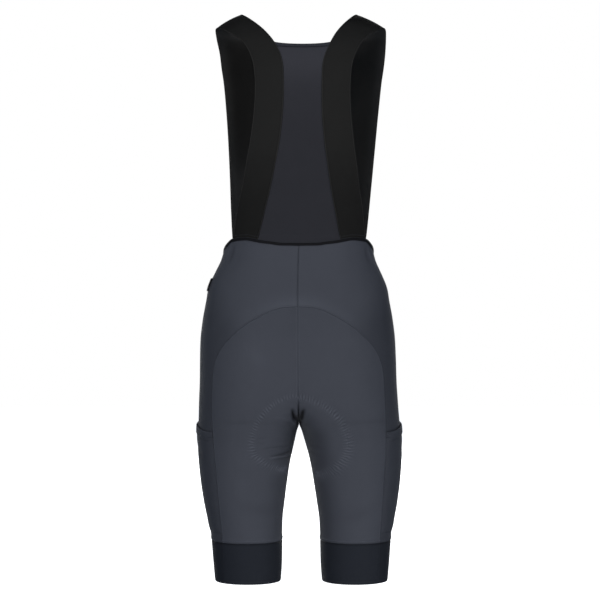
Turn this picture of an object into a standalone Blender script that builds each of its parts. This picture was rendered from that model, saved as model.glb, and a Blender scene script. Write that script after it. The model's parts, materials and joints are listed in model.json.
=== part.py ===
"""Cycling bib shorts, filled out as when worn: every cut-and-sewn piece is a thin closed wall of cloth.

The garment faces -Y, so its back is at +Y and the wearer's left is at +X. All sizes are millimetres
until make_object turns them into metres. Heights in the tables count upwards from the hem. The origin
is lifted to the underside of the straps on the shoulders, where the wearer holds the garment.
"""

import math

import bpy
import numpy as np


def named(columns, rows):
    """A table as a dict of columns: each name with its values, from short rows of numbers."""
    return dict(zip(columns.split(), np.array(rows, float).T))


# ---- driving sizes, in millimetres and degrees ----
MM = 0.001
SHOULDER_HEIGHT = 902.0
SEAM_GAP = 0.3
BIB_GAP = 0.5
KNIT = 1.4
GRIPPER_WALL = 1.8
GRIPPER_LIFT = 0.5
GRIPPER_TOP = 65.0
POCKET_WALL = 1.2
POCKET_LIFT = 0.4
POCKET_BOTTOM = 80.0
POCKET_MOUTH = {"back": 238.5, "front": 262.0}
POCKET_HEM = 14.0
POCKET_HEM_SWELL = 1.5
NET_WALL = 1.2
STRAP_WALL = 1.8
STRAP_CROWN = 2.0
WAIST_WALL = 1.8
WAIST_LIFT = 0.3
WAIST_BAND = 3.2
NECK_BAND = 6.0
NECK_HEIGHT = 850.0
NECK_DIP = 2.2
NECK_DIP_ABOVE = 790.0
NECK_WALL = 2.2
NECK_LIFT = 0.5

# The two legs meet at the crotch. Above it their ovals melt into one over a few JOIN_FADEs, sharply at
# the very middle and softly, over about JOIN_SOFT, away from it.
CROTCH = 252.0
JOIN_FADE = 30.0
JOIN_SOFT = 50.0
SHARED_TOP = 320.0

# Sections of the shorts: half the outer width, the x at which the back and front reach furthest, half
# the gap between the legs, and the depths.
BODY = named("height outer middle inner back front", (
    (0, 137.4, 85.5, 33.3, 60, 62),
    (32, 140.2, 86, 31.2, 64, 67),
    (65, 142.9, 87, 30.6, 68, 73),
    (96, 147.4, 88.5, 29.6, 72, 78),
    (128, 153.4, 90, 25.7, 77, 84),
    (160, 157.8, 90, 21.2, 81, 89),
    (192, 160.6, 88.5, 15.8, 86, 93),
    (224, 162, 85, 8, 92, 96),
    (240, 161.6, 82.5, 3.8, 97, 97),
    (252, 160.9, 80.2, 0, 100.8, 97.7),
    (262, 160.2, 78, 0, 104, 98),
    (290, 158.8, 72, 0, 111, 98.5),
    (320, 157.3, 66, 0, 116, 98),
    (352, 156.7, 61, 0, 118, 97),
    (384, 155.6, 56, 0, 116, 95),
    (416, 152, 52, 0, 109, 93),
    (448, 146.3, 49, 0, 99, 90),
    (464, 143.7, 47.5, 0, 94, 88),
    (480, 138.2, 46, 0, 89, 86),
    (496, 130.6, 44, 0, 85, 84),
    (512, 123.3, 42, 0, 82, 82),
    (528, 119.4, 40.5, 0, 80.5, 81),
    (552, 117, 40, 0, 80, 80),
))

# The upper body that the straps and the mesh lie on: half width, the x out to which the back and the
# front are flat, and depths.
TORSO = named("height half_width middle back front", (
    (534, 119, 40, 80, 84),
    (580, 124, 36, 86, 89),
    (640, 134, 30, 96, 98),
    (700, 145, 25, 103, 108),
    (750, 152, 22, 106, 113),
    (800, 158, 20, 104, 110),
    (850, 162, 20, 90, 94),
))

# As worn it leans a little: how far the middle stands off the centre plane.
LEAN = named("height shift", (
    (0, -3.3),
    (60, -3),
    (140, -2),
    (210, -1),
    (240, 0),
    (290, 1.4),
    (340, 2),
    (400, 2.5),
    (470, 2.4),
    (520, 1.4),
    (545, 0.2),
    (600, -1.4),
    (660, -3.2),
    (730, -4.7),
    (800, -5.4),
    (840, -5.4),
    (870, -3.1),
    (905, 0.9),
))

# The arch seam under the yoke, from the centre back outwards, ending in the corner over the side seam.
ARCH = named("x height", (
    (0, 438),
    (20, 437),
    (36, 433.5),
    (60, 422.5),
    (85, 407),
    (102, 391.3),
    (109, 384),
))

# The side seam from the hem up to that corner.
SIDE_SEAM = named("height x", (
    (0, 122),
    (35, 123),
    (68, 124),
    (92, 126),
    (117, 128.2),
    (149, 130.5),
    (181, 132.7),
    (212, 135),
    (261, 136),
    (281, 135.6),
    (320, 134.2),
    (344, 131.5),
    (360, 126),
    (377, 115.4),
    (384, 109),
))

# The top edge of the shorts round the waist, by the turn from the centre back (0) to the centre front.
WAIST = named("turn height", (
    (0, 533.6),
    (73, 534.2),
    (103, 537.8),
    (113, 540.3),
    (124, 542.6),
    (145, 541.8),
    (162, 533.5),
    (180, 525.5),
    (200, 513),
    (225, 500),
    (255, 491),
    (290, 487.5),
    (360, 487),
))
FRONT_SEAM_TURN = 222.0

# Each strap's two edges on the back and on the front, and the rows that carry it over the shoulder.
STRAP_BACK = named("height inner_x outer_x", (
    (546, 65.3, 104.3),
    (584, 55.4, 99.7),
    (627, 46.2, 91.7),
    (662, 40, 86.5),
    (700, 34, 80.5),
    (740, 30.3, 76),
    (790, 29.5, 74.8),
    (820, 31.5, 78.5),
))
STRAP_SHOULDER = named("inner_x inner_y inner_height outer_x outer_y outer_height", (
    (43, 85, NECK_HEIGHT, 91, 74, 849),
    (55, 66, 869, 105, 57, 864),
    (72, 40, 888, 121, 33, 875),
    (92, 4, 904, 135.4, 4, 881),
    (91, -28, 896, 136.6, -24, 869),
    (87, -54, 875, 134.6, -44, 850),
    (82, -76, 846, 132.1, -56, 826),
))
STRAP_FRONT = named("height inner_x outer_x", (
    (800, 76.5, 128.6),
    (745, 72, 123.4),
    (690, 68.5, 119),
    (640, 65.5, 115.3),
    (590, 62.5, 111.8),
    (555, 60, 109),
    (505, 56, 102),
))

HIP_TAB = {"low": 462.0, "high": 482.0, "back_turn": 177.0, "front_turn": 192.0, "wall": 1.2, "lift": 0.5}

# How finely the pieces are divided.
ACROSS = 8
FINE = 400
WAIST_STEPS = 12
LEG_ROWS = 7
CROTCH_ROWS = 9
UPPER_ROWS = 5
ARCH_STEPS = WAIST_STEPS
POCKET_ROWS = 6
STRAP_ACROSS = 4
STRAP_BACK_ROWS = 13
STRAP_SHOULDER_ROWS = 13
STRAP_FRONT_ROWS = 11
NET_ACROSS = 12


# ---- smooth curves through short tables ----
def read_curve(knots, values, where):
    """A curve through the knots that never overshoots: cubic pieces whose slope at a knot is the
    harmonic mean of the slopes on its two sides, and level where those two disagree in sign."""
    slopes = np.diff(values) / np.diff(knots)
    before, after = slopes[:-1], slopes[1:]
    agree = before * after > 0
    total = np.where(agree, before + after, 1.0)
    tangents = np.concatenate([slopes[:1], np.where(agree, 2 * before * after / total, 0.0), slopes[-1:]])
    where = np.asarray(where, float)
    piece = np.clip(np.searchsorted(knots, where, side="right") - 1, 0, len(slopes) - 1)
    length = np.diff(knots)[piece]
    part = (where - knots[piece]) / length
    start, end = values[piece], values[piece + 1]
    blend = part * part * (3 - 2 * part)
    lean_start = tangents[piece] * length * part * (1 - part) ** 2
    lean_end = tangents[piece + 1] * length * part * part * (part - 1)
    return start + (end - start) * blend + lean_start + lean_end


def column(table, name, where, by="height"):
    """One column of a table, read at any value of the column that it runs by."""
    order = np.argsort(table[by])
    return read_curve(table[by][order], table[name][order], where)


def smooth_path(stations, counts):
    """Rows of numbers carried smoothly through stations. counts gives (first station, last station,
    steps) for each stretch. The slope at a station is the one of the parabola through its neighbours."""
    gaps = np.linalg.norm(np.diff(stations, axis=0), axis=1)
    along = np.concatenate([[0.0], np.cumsum(gaps)])
    tangents = np.gradient(stations, along, axis=0, edge_order=2)
    stretches = [np.linspace(along[a], along[b], steps + 1)[:-1] for a, b, steps in counts]
    where = np.concatenate(stretches + [along[-1:]])
    piece = np.clip(np.searchsorted(along, where, side="right") - 1, 0, len(gaps) - 1)
    length = gaps[piece, None]
    part = ((where - along[piece]) / gaps[piece])[:, None]
    start, end = stations[piece], stations[piece + 1]
    blend = part * part * (3 - 2 * part)
    lean_start = tangents[piece] * length * part * (1 - part) ** 2
    lean_end = tangents[piece + 1] * length * part * part * (part - 1)
    return start + (end - start) * blend + lean_start + lean_end


# ---- the form of the shorts ----
def body_section(height):
    """A section's outer half width, its middle, and half the gap between the legs."""
    low = np.minimum(height, CROTCH)
    return column(BODY, "outer", height), column(BODY, "middle", height), column(BODY, "inner", low)


def legs_parted(cosine, height):
    """How far the two legs are parted: 1 below the crotch, and fading to 0 above it. At the very middle
    that begins sharply. Away from it the change is spread over more height."""
    above = height - CROTCH
    soft = JOIN_SOFT * (1 - cosine ** 2)
    return np.exp(-(above + np.sqrt(above ** 2 + soft ** 2)) / (2 * JOIN_FADE))


def body_point(turn, height):
    """A point of the cloth's outside on the wearer's left. The turn goes once round a leg: 0 is the
    inner leg, 90 degrees the back, 180 the outer side and 270 the front. Above the crotch, 0 is the
    centre back and 360 the centre front. Each section is two half ovals joined at the middle, and the
    inner one is opened out as the legs part less."""
    outer, middle, inner = body_section(height)
    cosine = np.cos(turn)
    inside = cosine > 0
    x = middle - np.where(inside, middle - inner, outer - middle) * cosine
    behind = np.sin(turn) >= 0
    depth = np.where(behind, column(BODY, "back", height), -column(BODY, "front", height))
    parted = np.where(inside, legs_parted(cosine, height), 1.0)
    y = depth * np.sqrt(1 - (parted * cosine) ** 2)
    return np.stack([x, y, height + 0.0 * turn], axis=-1)


def body_normal(turn, height):
    """The outward direction there, from small steps round and up the form. Above the crotch a step
    round stops at the centre plane."""
    round_step, up_step = 0.01, 0.2
    above = height > CROTCH
    ahead = np.where(above, np.minimum(turn + round_step, 2 * math.pi), turn + round_step)
    behind = np.where(above, np.maximum(turn - round_step, 0.0), turn - round_step)
    around = body_point(ahead, height) - body_point(behind, height)
    upwards = body_point(turn, height + up_step) - body_point(turn, height - up_step)
    return unit(np.cross(upwards, around))


def unit(vectors):
    return vectors / np.linalg.norm(vectors, axis=-1, keepdims=True)


def turn_at(x, height):
    """The turn on the back half at which the form is x from the centre plane."""
    outer, middle, inner = body_section(height)
    reach = np.where(x < middle, middle - inner, outer - middle)
    return np.arccos(np.clip((middle - x) / reach, -1.0, 1.0))


def side_turn(height):
    return turn_at(column(SIDE_SEAM, "x", height), height)


def waist_height(turn):
    return column(WAIST, "height", np.degrees(turn), by="turn")


# ---- the rows that neighbouring panels share, so that their edges run side by side ----
def shared_rows():
    """Heights from the gripper to above the crotch. They crowd towards the crotch, and above it each
    step takes the centre seam back by about as much."""
    share = np.linspace(1.0, 0.0, LEG_ROWS + 1)[:-1]
    leg = CROTCH - (CROTCH - GRIPPER_TOP) * share ** 1.6
    last_turn = math.acos(math.exp(-(SHARED_TOP - CROTCH) / JOIN_FADE))
    turns = np.linspace(0.0, last_turn, CROTCH_ROWS + 1)
    return np.concatenate([leg, CROTCH - JOIN_FADE * np.log(np.cos(turns))])


def rows_up_to(top):
    """The shared rows, and even steps from the last of them to a panel's top corner."""
    return np.concatenate([shared_rows(), np.linspace(SHARED_TOP, top, UPPER_ROWS + 1)[1:]])


def spaced(points, steps):
    """Shares of a fine line's samples at which it is divided into equal lengths."""
    along = np.concatenate([[0.0], np.cumsum(np.linalg.norm(np.diff(points, axis=0), axis=1))])
    return np.interp(np.linspace(0.0, along[-1], steps + 1), along, np.linspace(0.0, 1.0, len(along)))


def arch_line():
    """Turn and height of evenly spaced points on the arch seam, from the centre back to its corner."""
    x = np.linspace(0.0, ARCH["x"][-1], FINE)
    x = x[-1] * spaced(np.stack([x, column(ARCH, "height", x, by="x")], -1), ARCH_STEPS)
    height = column(ARCH, "height", x, by="x")
    return turn_at(x, height), height


def waist_stretch(first, last, steps):
    """Turn and height of evenly spaced points on the waist edge between two turns."""
    fine = np.linspace(first, last, FINE)
    turn = first + (last - first) * spaced(body_point(fine, waist_height(fine)), steps)
    return turn, waist_height(turn)


def back_waist_line():
    return waist_stretch(0.0, math.radians(FRONT_SEAM_TURN), WAIST_STEPS)


def front_waist_line():
    """From the centre front to the front seam, by turns that count from the inner leg to the front."""
    turn, height = waist_stretch(2 * math.pi, math.radians(FRONT_SEAM_TURN), ACROSS)
    return 2 * math.pi - turn, height


def waist_line():
    """All round one side of the waist, from the centre back to the centre front."""
    back_turns, back_heights = back_waist_line()
    front_turns, front_heights = front_waist_line()
    turns = np.concatenate([back_turns, 2 * math.pi - front_turns[-2::-1]])
    return turns, np.concatenate([back_heights, front_heights[-2::-1]])


def front_seam():
    """The front seam's turns and heights. It mirrors the side seam up to the shared top, and goes on
    from there to the waist."""
    heights = rows_up_to(float(waist_height(math.radians(FRONT_SEAM_TURN))))
    low = np.minimum(heights, SHARED_TOP)
    rise = (heights - low) / (heights[-1] - SHARED_TOP)
    top_turn = 2 * math.pi - math.radians(FRONT_SEAM_TURN)
    return side_turn(low) * (1 - rise) + top_turn * rise, heights


def leg_panel(seam_turns, seam_heights, top_turns, top_heights):
    """Turns and heights of a panel between the centre seam and a seam on the side. Rows are level up
    to the shared top. Above it they bend gradually into the top edge."""
    centre_heights = rows_up_to(top_heights[0])
    across = np.linspace(0.0, 1.0, len(top_turns))[None, :]
    rise = np.clip(np.arange(len(centre_heights)) - (len(centre_heights) - 1 - UPPER_ROWS), 0, None)
    rise = (rise / UPPER_ROWS)[:, None]
    bow = top_heights - (top_heights[0] * (1 - across) + top_heights[-1] * across)
    heights = centre_heights[:, None] * (1 - across) + seam_heights[:, None] * across + rise * bow
    turns = across * seam_turns[:, None] + rise * (top_turns - across * seam_turns[-1])
    return turns, heights


# ---- cloth walls ----
def grid_normal(points):
    """The direction square to a grid of points, from its steps along rows and columns."""
    return unit(np.cross(np.gradient(points, axis=0), np.gradient(points, axis=1)))


def eased(points, edges):
    """The same grid with the named edges drawn in by half a seam gap."""
    points = points.copy()
    draw = SEAM_GAP / 2
    if "first_row" in edges:
        points[0] += draw * unit(points[1] - points[0])
    if "last_row" in edges:
        points[-1] += draw * unit(points[-2] - points[-1])
    if "first_column" in edges:
        points[:, 0] += draw * unit(points[:, 1] - points[:, 0])
    if "last_column" in edges:
        points[:, -1] += draw * unit(points[:, -2] - points[:, -1])
    return points


def wall_faces(rows, columns, ring, flip):
    """Triangles of a wall whose outer and inner points are two grids, one after the other. flip tells
    for each cell which diagonal splits it, the same one outside and inside."""
    index = np.arange(rows * columns).reshape(rows, columns)
    if ring:
        index = np.concatenate([index, index[:, :1]], axis=1)
    a, b = index[:-1, :-1], index[:-1, 1:]
    c, d = index[1:, 1:], index[1:, :-1]
    one = np.where(flip[..., None], np.stack([a, b, d], -1), np.stack([a, b, c], -1)).reshape(-1, 3)
    two = np.where(flip[..., None], np.stack([b, c, d], -1), np.stack([a, c, d], -1)).reshape(-1, 3)
    outside = np.concatenate([one, two])
    inside = outside[:, ::-1] + rows * columns
    border = [index[0], index[-1, ::-1]]
    if not ring:
        border += [index[::-1, 0], index[:, -1]]
    rims = []
    for line in border:
        near, far = line[:-1], line[1:]
        rims.append(np.stack([far, near, near + rows * columns], -1))
        rims.append(np.stack([far, near + rows * columns, far + rows * columns], -1))
    return np.concatenate([outside, inside] + rims)


def make_wall(name, outer, inner, finish, ring=False, mirror=False):
    """One object from a wall's outer and inner grids, turned so that its faces point outwards."""
    rows, columns = outer.shape[:2]
    grid = np.concatenate([outer, outer[:, :1]], axis=1) if ring else outer
    one_way = np.linalg.norm(grid[1:, 1:] - grid[:-1, :-1], axis=-1)
    other_way = np.linalg.norm(grid[1:, :-1] - grid[:-1, 1:], axis=-1)
    faces = wall_faces(rows, columns, ring, other_way < one_way)
    points = np.concatenate([outer.reshape(-1, 3), inner.reshape(-1, 3)])
    if mirror:
        points = points * (-1.0, 1.0, 1.0)
    corners = points[faces]
    volume = np.einsum("ij,ij->", corners[:, 0], np.cross(corners[:, 1], corners[:, 2]))
    if volume < 0:
        faces = faces[:, ::-1]
    return make_object(name, points, faces, finish)


def make_object(name, points, faces, finish):
    """The garment's lean is added, and millimetres above the hem become metres from the shoulders."""
    shift = column(LEAN, "shift", points[:, 2])
    places = (points + np.stack([shift, 0 * shift, 0 * shift - SHOULDER_HEIGHT], -1)) * MM
    mesh = bpy.data.meshes.new(name)
    mesh.from_pydata(places.tolist(), [], faces.tolist())
    mesh.update()
    mesh.shade_smooth()
    mesh.set_sharp_from_angle(angle=math.radians(40))
    mesh.materials.append(finish)
    made = bpy.data.objects.new(name, mesh)
    bpy.context.scene.collection.objects.link(made)
    return made


def body_wall(turns, heights, edges, lift, thickness):
    """Outer and inner grids of cloth that follows the form of the shorts. On the centre plane the
    wall stands in that plane, half a seam gap to its side."""
    surface = body_point(turns, heights)
    normal = body_normal(turns, heights)
    centred = (surface[..., 0] < 0.01) & (heights >= CROTCH)
    normal[centred, 0] = 0.0
    normal = unit(normal)
    surface = eased(surface, edges)
    outer = surface + normal * np.asarray(lift)[..., None]
    inner = outer - normal * np.asarray(thickness)[..., None]
    for grid in (outer, inner):
        grid[..., 0] = np.maximum(grid[..., 0], SEAM_GAP / 2)
    return outer, inner


def both_sides(name, outer, inner, finish):
    make_wall(f"{name}_left", outer, inner, finish)
    make_wall(f"{name}_right", outer, inner, finish, mirror=True)


# ---- materials ----
def cloth(name, red, green, blue, roughness):
    """A plain cloth finish. The colour is given as screen values from 0 to 255."""
    finish = bpy.data.materials.new(name)
    finish.use_nodes = True
    shader = finish.node_tree.nodes["Principled BSDF"]
    screen = np.array([red, green, blue]) / 255.0
    linear = np.where(screen <= 0.04045, screen / 12.92, ((screen + 0.055) / 1.055) ** 2.4)
    shader.inputs["Base Color"].default_value = (*linear.tolist(), 1.0)
    shader.inputs["Roughness"].default_value = roughness
    shader.inputs["Metallic"].default_value = 0.0
    finish.diffuse_color = (*linear.tolist(), 1.0)
    return finish


# ---- the pieces ----
def add_seat_panels(finish):
    """The seat and back leg, under the arch seam."""
    top_turns, top_heights = arch_line()
    heights = rows_up_to(top_heights[-1])
    turns, heights = leg_panel(side_turn(heights), heights, top_turns, top_heights)
    edges = ("first_row", "last_row", "first_column", "last_column")
    both_sides("seat_panel", *body_wall(turns, heights, edges, 0.0, KNIT), finish)


def add_front_panels(finish):
    """The front, laid out like the back and then turned to the front half of the form."""
    turns, heights = leg_panel(*front_seam(), *front_waist_line())
    edges = ("first_row", "last_row", "first_column", "last_column")
    both_sides("front_panel", *body_wall(2 * math.pi - turns, heights, edges, 0.0, KNIT), finish)


def side_strip():
    """Turns and heights of the yoke and side panel: a strip from the centre back round to the
    gripper, between the arch and side seams on one edge and the waist and front seam on the other."""
    arch_turns, arch_heights = arch_line()
    seam_heights = rows_up_to(arch_heights[-1])[-2::-1]
    waist_turns, waist_heights = back_waist_line()
    front_turns, front_heights = front_seam()
    near = np.stack([
        np.concatenate([arch_turns, side_turn(seam_heights)]),
        np.concatenate([arch_heights, seam_heights]),
    ])
    far = np.stack([
        np.concatenate([waist_turns, 2 * math.pi - front_turns[-2::-1]]),
        np.concatenate([waist_heights, front_heights[-2::-1]]),
    ])
    across = np.linspace(0.0, 1.0, ACROSS + 1)
    return near[:, :, None] * (1 - across) + far[:, :, None] * across


def add_side_panels(finish):
    """The yoke and the outer leg in one piece."""
    turns, heights = side_strip()
    edges = ("first_row", "last_row", "first_column", "last_column")
    both_sides("side_panel", *body_wall(turns, heights, edges, 0.0, KNIT), finish)


def add_grippers(finish):
    """The leg bands: a long one round the inner leg and a short one on the outer leg."""
    heights = np.linspace(0.0, GRIPPER_TOP, 4)[:, None]
    edge = side_turn(heights)
    around = np.linspace(-1.0, 1.0, 2 * ACROSS + 1)
    edges = ("last_row", "first_column", "last_column")
    inner_leg = body_wall(edge * around, heights + 0.0 * around, edges, GRIPPER_LIFT, GRIPPER_WALL)
    both_sides("gripper", *inner_leg, finish)
    across = np.linspace(0.0, 1.0, ACROSS + 1)
    turns = edge * (1 - across) + (2 * math.pi - edge) * across
    outer_leg = body_wall(turns, heights + 0.0 * across, edges, GRIPPER_LIFT, GRIPPER_WALL)
    both_sides("gripper_side", *outer_leg, finish)


def add_pockets(finish):
    """A patch on each outer leg. Its hemmed mouth slants up towards the front."""
    across = np.linspace(0.0, 1.0, ACROSS + 1)
    mouth = POCKET_MOUTH["back"] * (1 - across) + POCKET_MOUTH["front"] * across
    rise = np.linspace(0.0, 1.0, POCKET_ROWS + 1)[:-1, None]
    plain = POCKET_BOTTOM * (1 - rise) + (mouth - POCKET_HEM) * rise
    hem = mouth - np.array([POCKET_HEM, 0.8 * POCKET_HEM, 0.4 * POCKET_HEM, 0.0])[:, None]
    heights = np.concatenate([plain, hem])
    swell = np.zeros(heights.shape)
    swell[-3] = 0.8 * POCKET_HEM_SWELL
    swell[-2] = POCKET_HEM_SWELL
    swell[-1] = 0.3 * POCKET_HEM_SWELL
    edge = side_turn(heights)
    turns = edge * (1 - across) + (2 * math.pi - edge) * across
    lift = POCKET_LIFT + POCKET_WALL + swell
    edges = ("first_column", "last_column")
    both_sides("cargo_pocket", *body_wall(turns, heights, edges, lift, POCKET_WALL + swell), finish)


def add_waist_binding(finish):
    """The thin elastic ring on the shorts' top edge."""
    turns, heights = waist_line()
    heights = heights + np.array([SEAM_GAP / 2, WAIST_BAND])[:, None]
    turns = turns + 0.0 * heights
    surface, normal = body_point(turns, heights), body_normal(turns, heights)
    outer = surface + WAIST_LIFT * normal
    inner = outer - WAIST_WALL * normal
    for grid in (outer, inner):
        grid[:, (0, -1), 0] = 0.0
    mirrored = [grid[:, -2:0:-1] * (-1.0, 1.0, 1.0) for grid in (outer, inner)]
    outer, inner = (np.concatenate(pair, axis=1) for pair in zip((outer, inner), mirrored))
    make_wall("waist_binding", outer, inner, finish, ring=True)


def on_waist(x, back):
    """A point just over the waist binding, x from the centre plane, on the back or on the front. It is
    read between the binding's own samples, so that the two edges run side by side."""
    turns, heights = waist_line()
    edge = body_point(turns, heights + WAIST_BAND + BIB_GAP)
    widest = int(np.argmax(edge[:, 0]))
    half = edge[:widest + 1] if back else edge[:widest - 1:-1]
    return np.stack([x, np.interp(x, half[:, 0], half[:, 1]), np.interp(x, half[:, 0], half[:, 2])], -1)


def torso_depth(side, x, height):
    """How far the upper body reaches back or forward at x: flat to its middle, then round."""
    half, middle = column(TORSO, "half_width", height), column(TORSO, "middle", height)
    beyond = np.maximum(x - middle, 0.0) / (half - middle)
    return column(TORSO, side, height) * np.sqrt(1 - beyond ** 2)


def strap_stations():
    """Rows of (inner edge, outer edge), three numbers each, from the back waist to the front waist."""
    def on_torso(table, side, sign):
        heights = table["height"]
        edges = []
        for x in (table["inner_x"], table["outer_x"]):
            edges.append(np.stack([x, sign * torso_depth(side, x, heights), heights], -1))
        return np.concatenate(edges, axis=1)

    shoulder = np.stack(list(STRAP_SHOULDER.values()), -1)
    back, front = on_torso(STRAP_BACK, "back", 1.0), on_torso(STRAP_FRONT, "front", -1.0)
    back[0] = on_waist(back[0, [0, 3]], True).reshape(-1)
    front[-1] = on_waist(front[-1, [0, 3]], False).reshape(-1)
    return np.concatenate([back, shoulder, front])


def strap_rows():
    """The strap's edges as fine rows. One row lies exactly at the neck's upper edge."""
    stations = strap_stations()
    neck = len(STRAP_BACK["height"])
    crest_end = neck + len(STRAP_SHOULDER["inner_x"]) - 1
    rows = smooth_path(stations, (
        (0, neck, STRAP_BACK_ROWS),
        (neck, crest_end, STRAP_SHOULDER_ROWS),
        (crest_end, len(stations) - 1, STRAP_FRONT_ROWS),
    ))
    return rows[:, :3], rows[:, 3:]


def strap_grid():
    """The strap's outside. Across, it is slightly crowned, as on a rounded back."""
    inner_edge, outer_edge = strap_rows()
    across = np.linspace(0.0, 1.0, STRAP_ACROSS + 1)[None, :, None]
    flat = inner_edge[:, None] * (1 - across) + outer_edge[:, None] * across
    normal = grid_normal(flat)
    points = flat + STRAP_CROWN * 4 * across * (1 - across) * normal
    for row, back in ((0, True), (-1, False)):
        points[row] = on_waist(flat[row, :, 0], back)
    return points


def strap_normal(points):
    """Square to the strap, and level where it stands on the waist binding."""
    normal = grid_normal(points)
    normal[[0, -1], :, 2] = 0.0
    return unit(normal)


def add_straps(finish):
    points = strap_grid()
    normal = strap_normal(points)
    outer = eased(points, ("first_column",))
    both_sides("strap", outer, outer - STRAP_WALL * normal, finish)


def net_grid(edge):
    """Rows from one strap's inner edge across the back to the other's, fullest over the spine."""
    across = np.linspace(-1.0, 1.0, NET_ACROSS + 1)
    x = edge[:, :1] * across
    height = edge[:, 2:] + 0.0 * across
    fullness = torso_depth("back", 0.0, height) - torso_depth("back", np.abs(edge[:, :1]), height)
    dip = NECK_DIP * np.clip((height - NECK_DIP_ABOVE) / (NECK_HEIGHT - NECK_DIP_ABOVE), 0.0, 1.0)
    y = edge[:, 1:2] + fullness * (1 - across ** 2)
    return np.stack([x, y, height - dip * (1 - across ** 2)], -1)


def add_back_mesh_and_neck(net_finish, neck_finish):
    """The mesh between the straps, and the folded binding on its upper edge."""
    strap = strap_grid()
    neck_row = STRAP_BACK_ROWS
    edge, edge_normal = strap[:neck_row + 1, 0], strap_normal(strap)[:neck_row + 1, 0]

    def seamed_normal(grid, normals):
        """Square to the net, and at its two edges the same as on the straps."""
        square = grid_normal(grid)
        square = square * np.sign(square[..., 1:2])
        square[:, -1] = normals
        square[:, 0] = normals * (-1.0, 1.0, 1.0)
        return square

    top = NECK_HEIGHT - NECK_BAND
    low = edge.copy()
    low[-1] = edge[-2] + (edge[-1] - edge[-2]) * (top - edge[-2, 2]) / (edge[-1, 2] - edge[-2, 2])
    grid = net_grid(low)
    grid[0, :] = on_waist(np.abs(grid[0, :, 0]), True) * np.stack(
        [np.sign(grid[0, :, 0]), np.ones(NET_ACROSS + 1), np.ones(NET_ACROSS + 1)], -1)
    normal = seamed_normal(grid, edge_normal)
    normal[0, :, 2] = 0.0
    normal[0] = unit(normal[0])
    outer = eased(grid, ("last_row", "first_column", "last_column"))
    make_wall("back_mesh", outer, outer - NET_WALL * normal, net_finish)

    band = np.stack([low[-1], edge[-1]])
    grid = net_grid(band)
    normal = seamed_normal(grid, edge_normal[-1])
    outer = eased(grid, ("first_row", "first_column", "last_column")) + NECK_LIFT * normal
    make_wall("neck_binding", outer, outer - NECK_WALL * normal, neck_finish)


def add_hip_tab(finish):
    """The small tab on the left hip, lying on the side panel."""
    turns = np.radians(np.linspace(HIP_TAB["back_turn"], HIP_TAB["front_turn"], 4))[None, :]
    heights = np.linspace(HIP_TAB["low"], HIP_TAB["high"], 3)[:, None]
    turns, heights = turns + 0.0 * heights, heights + 0.0 * turns
    outer, inner = body_wall(turns, heights, (), HIP_TAB["lift"] + HIP_TAB["wall"], HIP_TAB["wall"])
    make_wall("hip_tab_left", outer, inner, finish)


def main():
    for old in list(bpy.data.objects):
        bpy.data.objects.remove(old)
    knit = cloth("knit_grey_blue", 66, 69, 78, 0.75)
    side_knit = cloth("knit_side_dark", 46, 50, 57, 0.75)
    elastic = cloth("strap_elastic", 38, 38, 39, 0.7)
    net = cloth("back_net", 50, 50, 55, 0.85)
    band = cloth("gripper_elastic", 33, 35, 41, 0.65)
    binding = cloth("binding_black", 26, 26, 28, 0.6)
    add_seat_panels(knit)
    add_side_panels(knit)
    add_front_panels(knit)
    add_grippers(band)
    add_pockets(side_knit)
    add_waist_binding(binding)
    add_straps(elastic)
    add_back_mesh_and_neck(net, binding)
    add_hip_tab(binding)


main()
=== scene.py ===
# %% [markdown]
# # Cycling bib shorts, filled out as when worn
#
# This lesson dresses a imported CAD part. The part's solids hold the garment's true form as plain walls.
# Here each cut-and-sewn piece is made again as a fine surface, with its seams, stitches, creases and
# cloth, and it takes the place of its solid. The garment faces -Y, its back is at +Y, and the wearer's
# left is at +X. Sizes are millimetres above the hem until a mesh is made, and then metres.

# %% Load the frame
import json
import math

import bpy
import numpy as np
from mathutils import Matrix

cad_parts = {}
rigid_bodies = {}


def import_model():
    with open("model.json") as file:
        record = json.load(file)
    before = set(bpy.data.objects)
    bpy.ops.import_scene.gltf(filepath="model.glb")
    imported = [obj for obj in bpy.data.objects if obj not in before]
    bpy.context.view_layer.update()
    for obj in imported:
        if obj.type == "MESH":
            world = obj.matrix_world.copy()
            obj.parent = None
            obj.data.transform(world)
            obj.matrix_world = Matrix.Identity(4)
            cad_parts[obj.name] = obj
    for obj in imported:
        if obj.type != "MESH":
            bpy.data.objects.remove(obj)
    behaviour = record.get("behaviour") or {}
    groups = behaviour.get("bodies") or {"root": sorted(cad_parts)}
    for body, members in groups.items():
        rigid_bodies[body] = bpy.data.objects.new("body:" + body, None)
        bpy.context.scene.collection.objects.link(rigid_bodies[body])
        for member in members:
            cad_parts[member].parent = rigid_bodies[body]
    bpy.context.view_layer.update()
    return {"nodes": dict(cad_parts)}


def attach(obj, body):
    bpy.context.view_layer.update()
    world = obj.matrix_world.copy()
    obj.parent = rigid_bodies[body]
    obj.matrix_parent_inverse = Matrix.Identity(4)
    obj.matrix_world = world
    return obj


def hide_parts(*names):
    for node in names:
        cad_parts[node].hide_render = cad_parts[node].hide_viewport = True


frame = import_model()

print("CAD nodes:", len(frame["nodes"]))

# %% [markdown]
# ## Driving sizes
#
# The garment is described by few sizes and short tables: sections of the shorts and of the upper body,
# the seams that run over them, and the edges of the straps. They repeat those of the CAD source, since
# a scene may read nothing but its frame.

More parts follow.
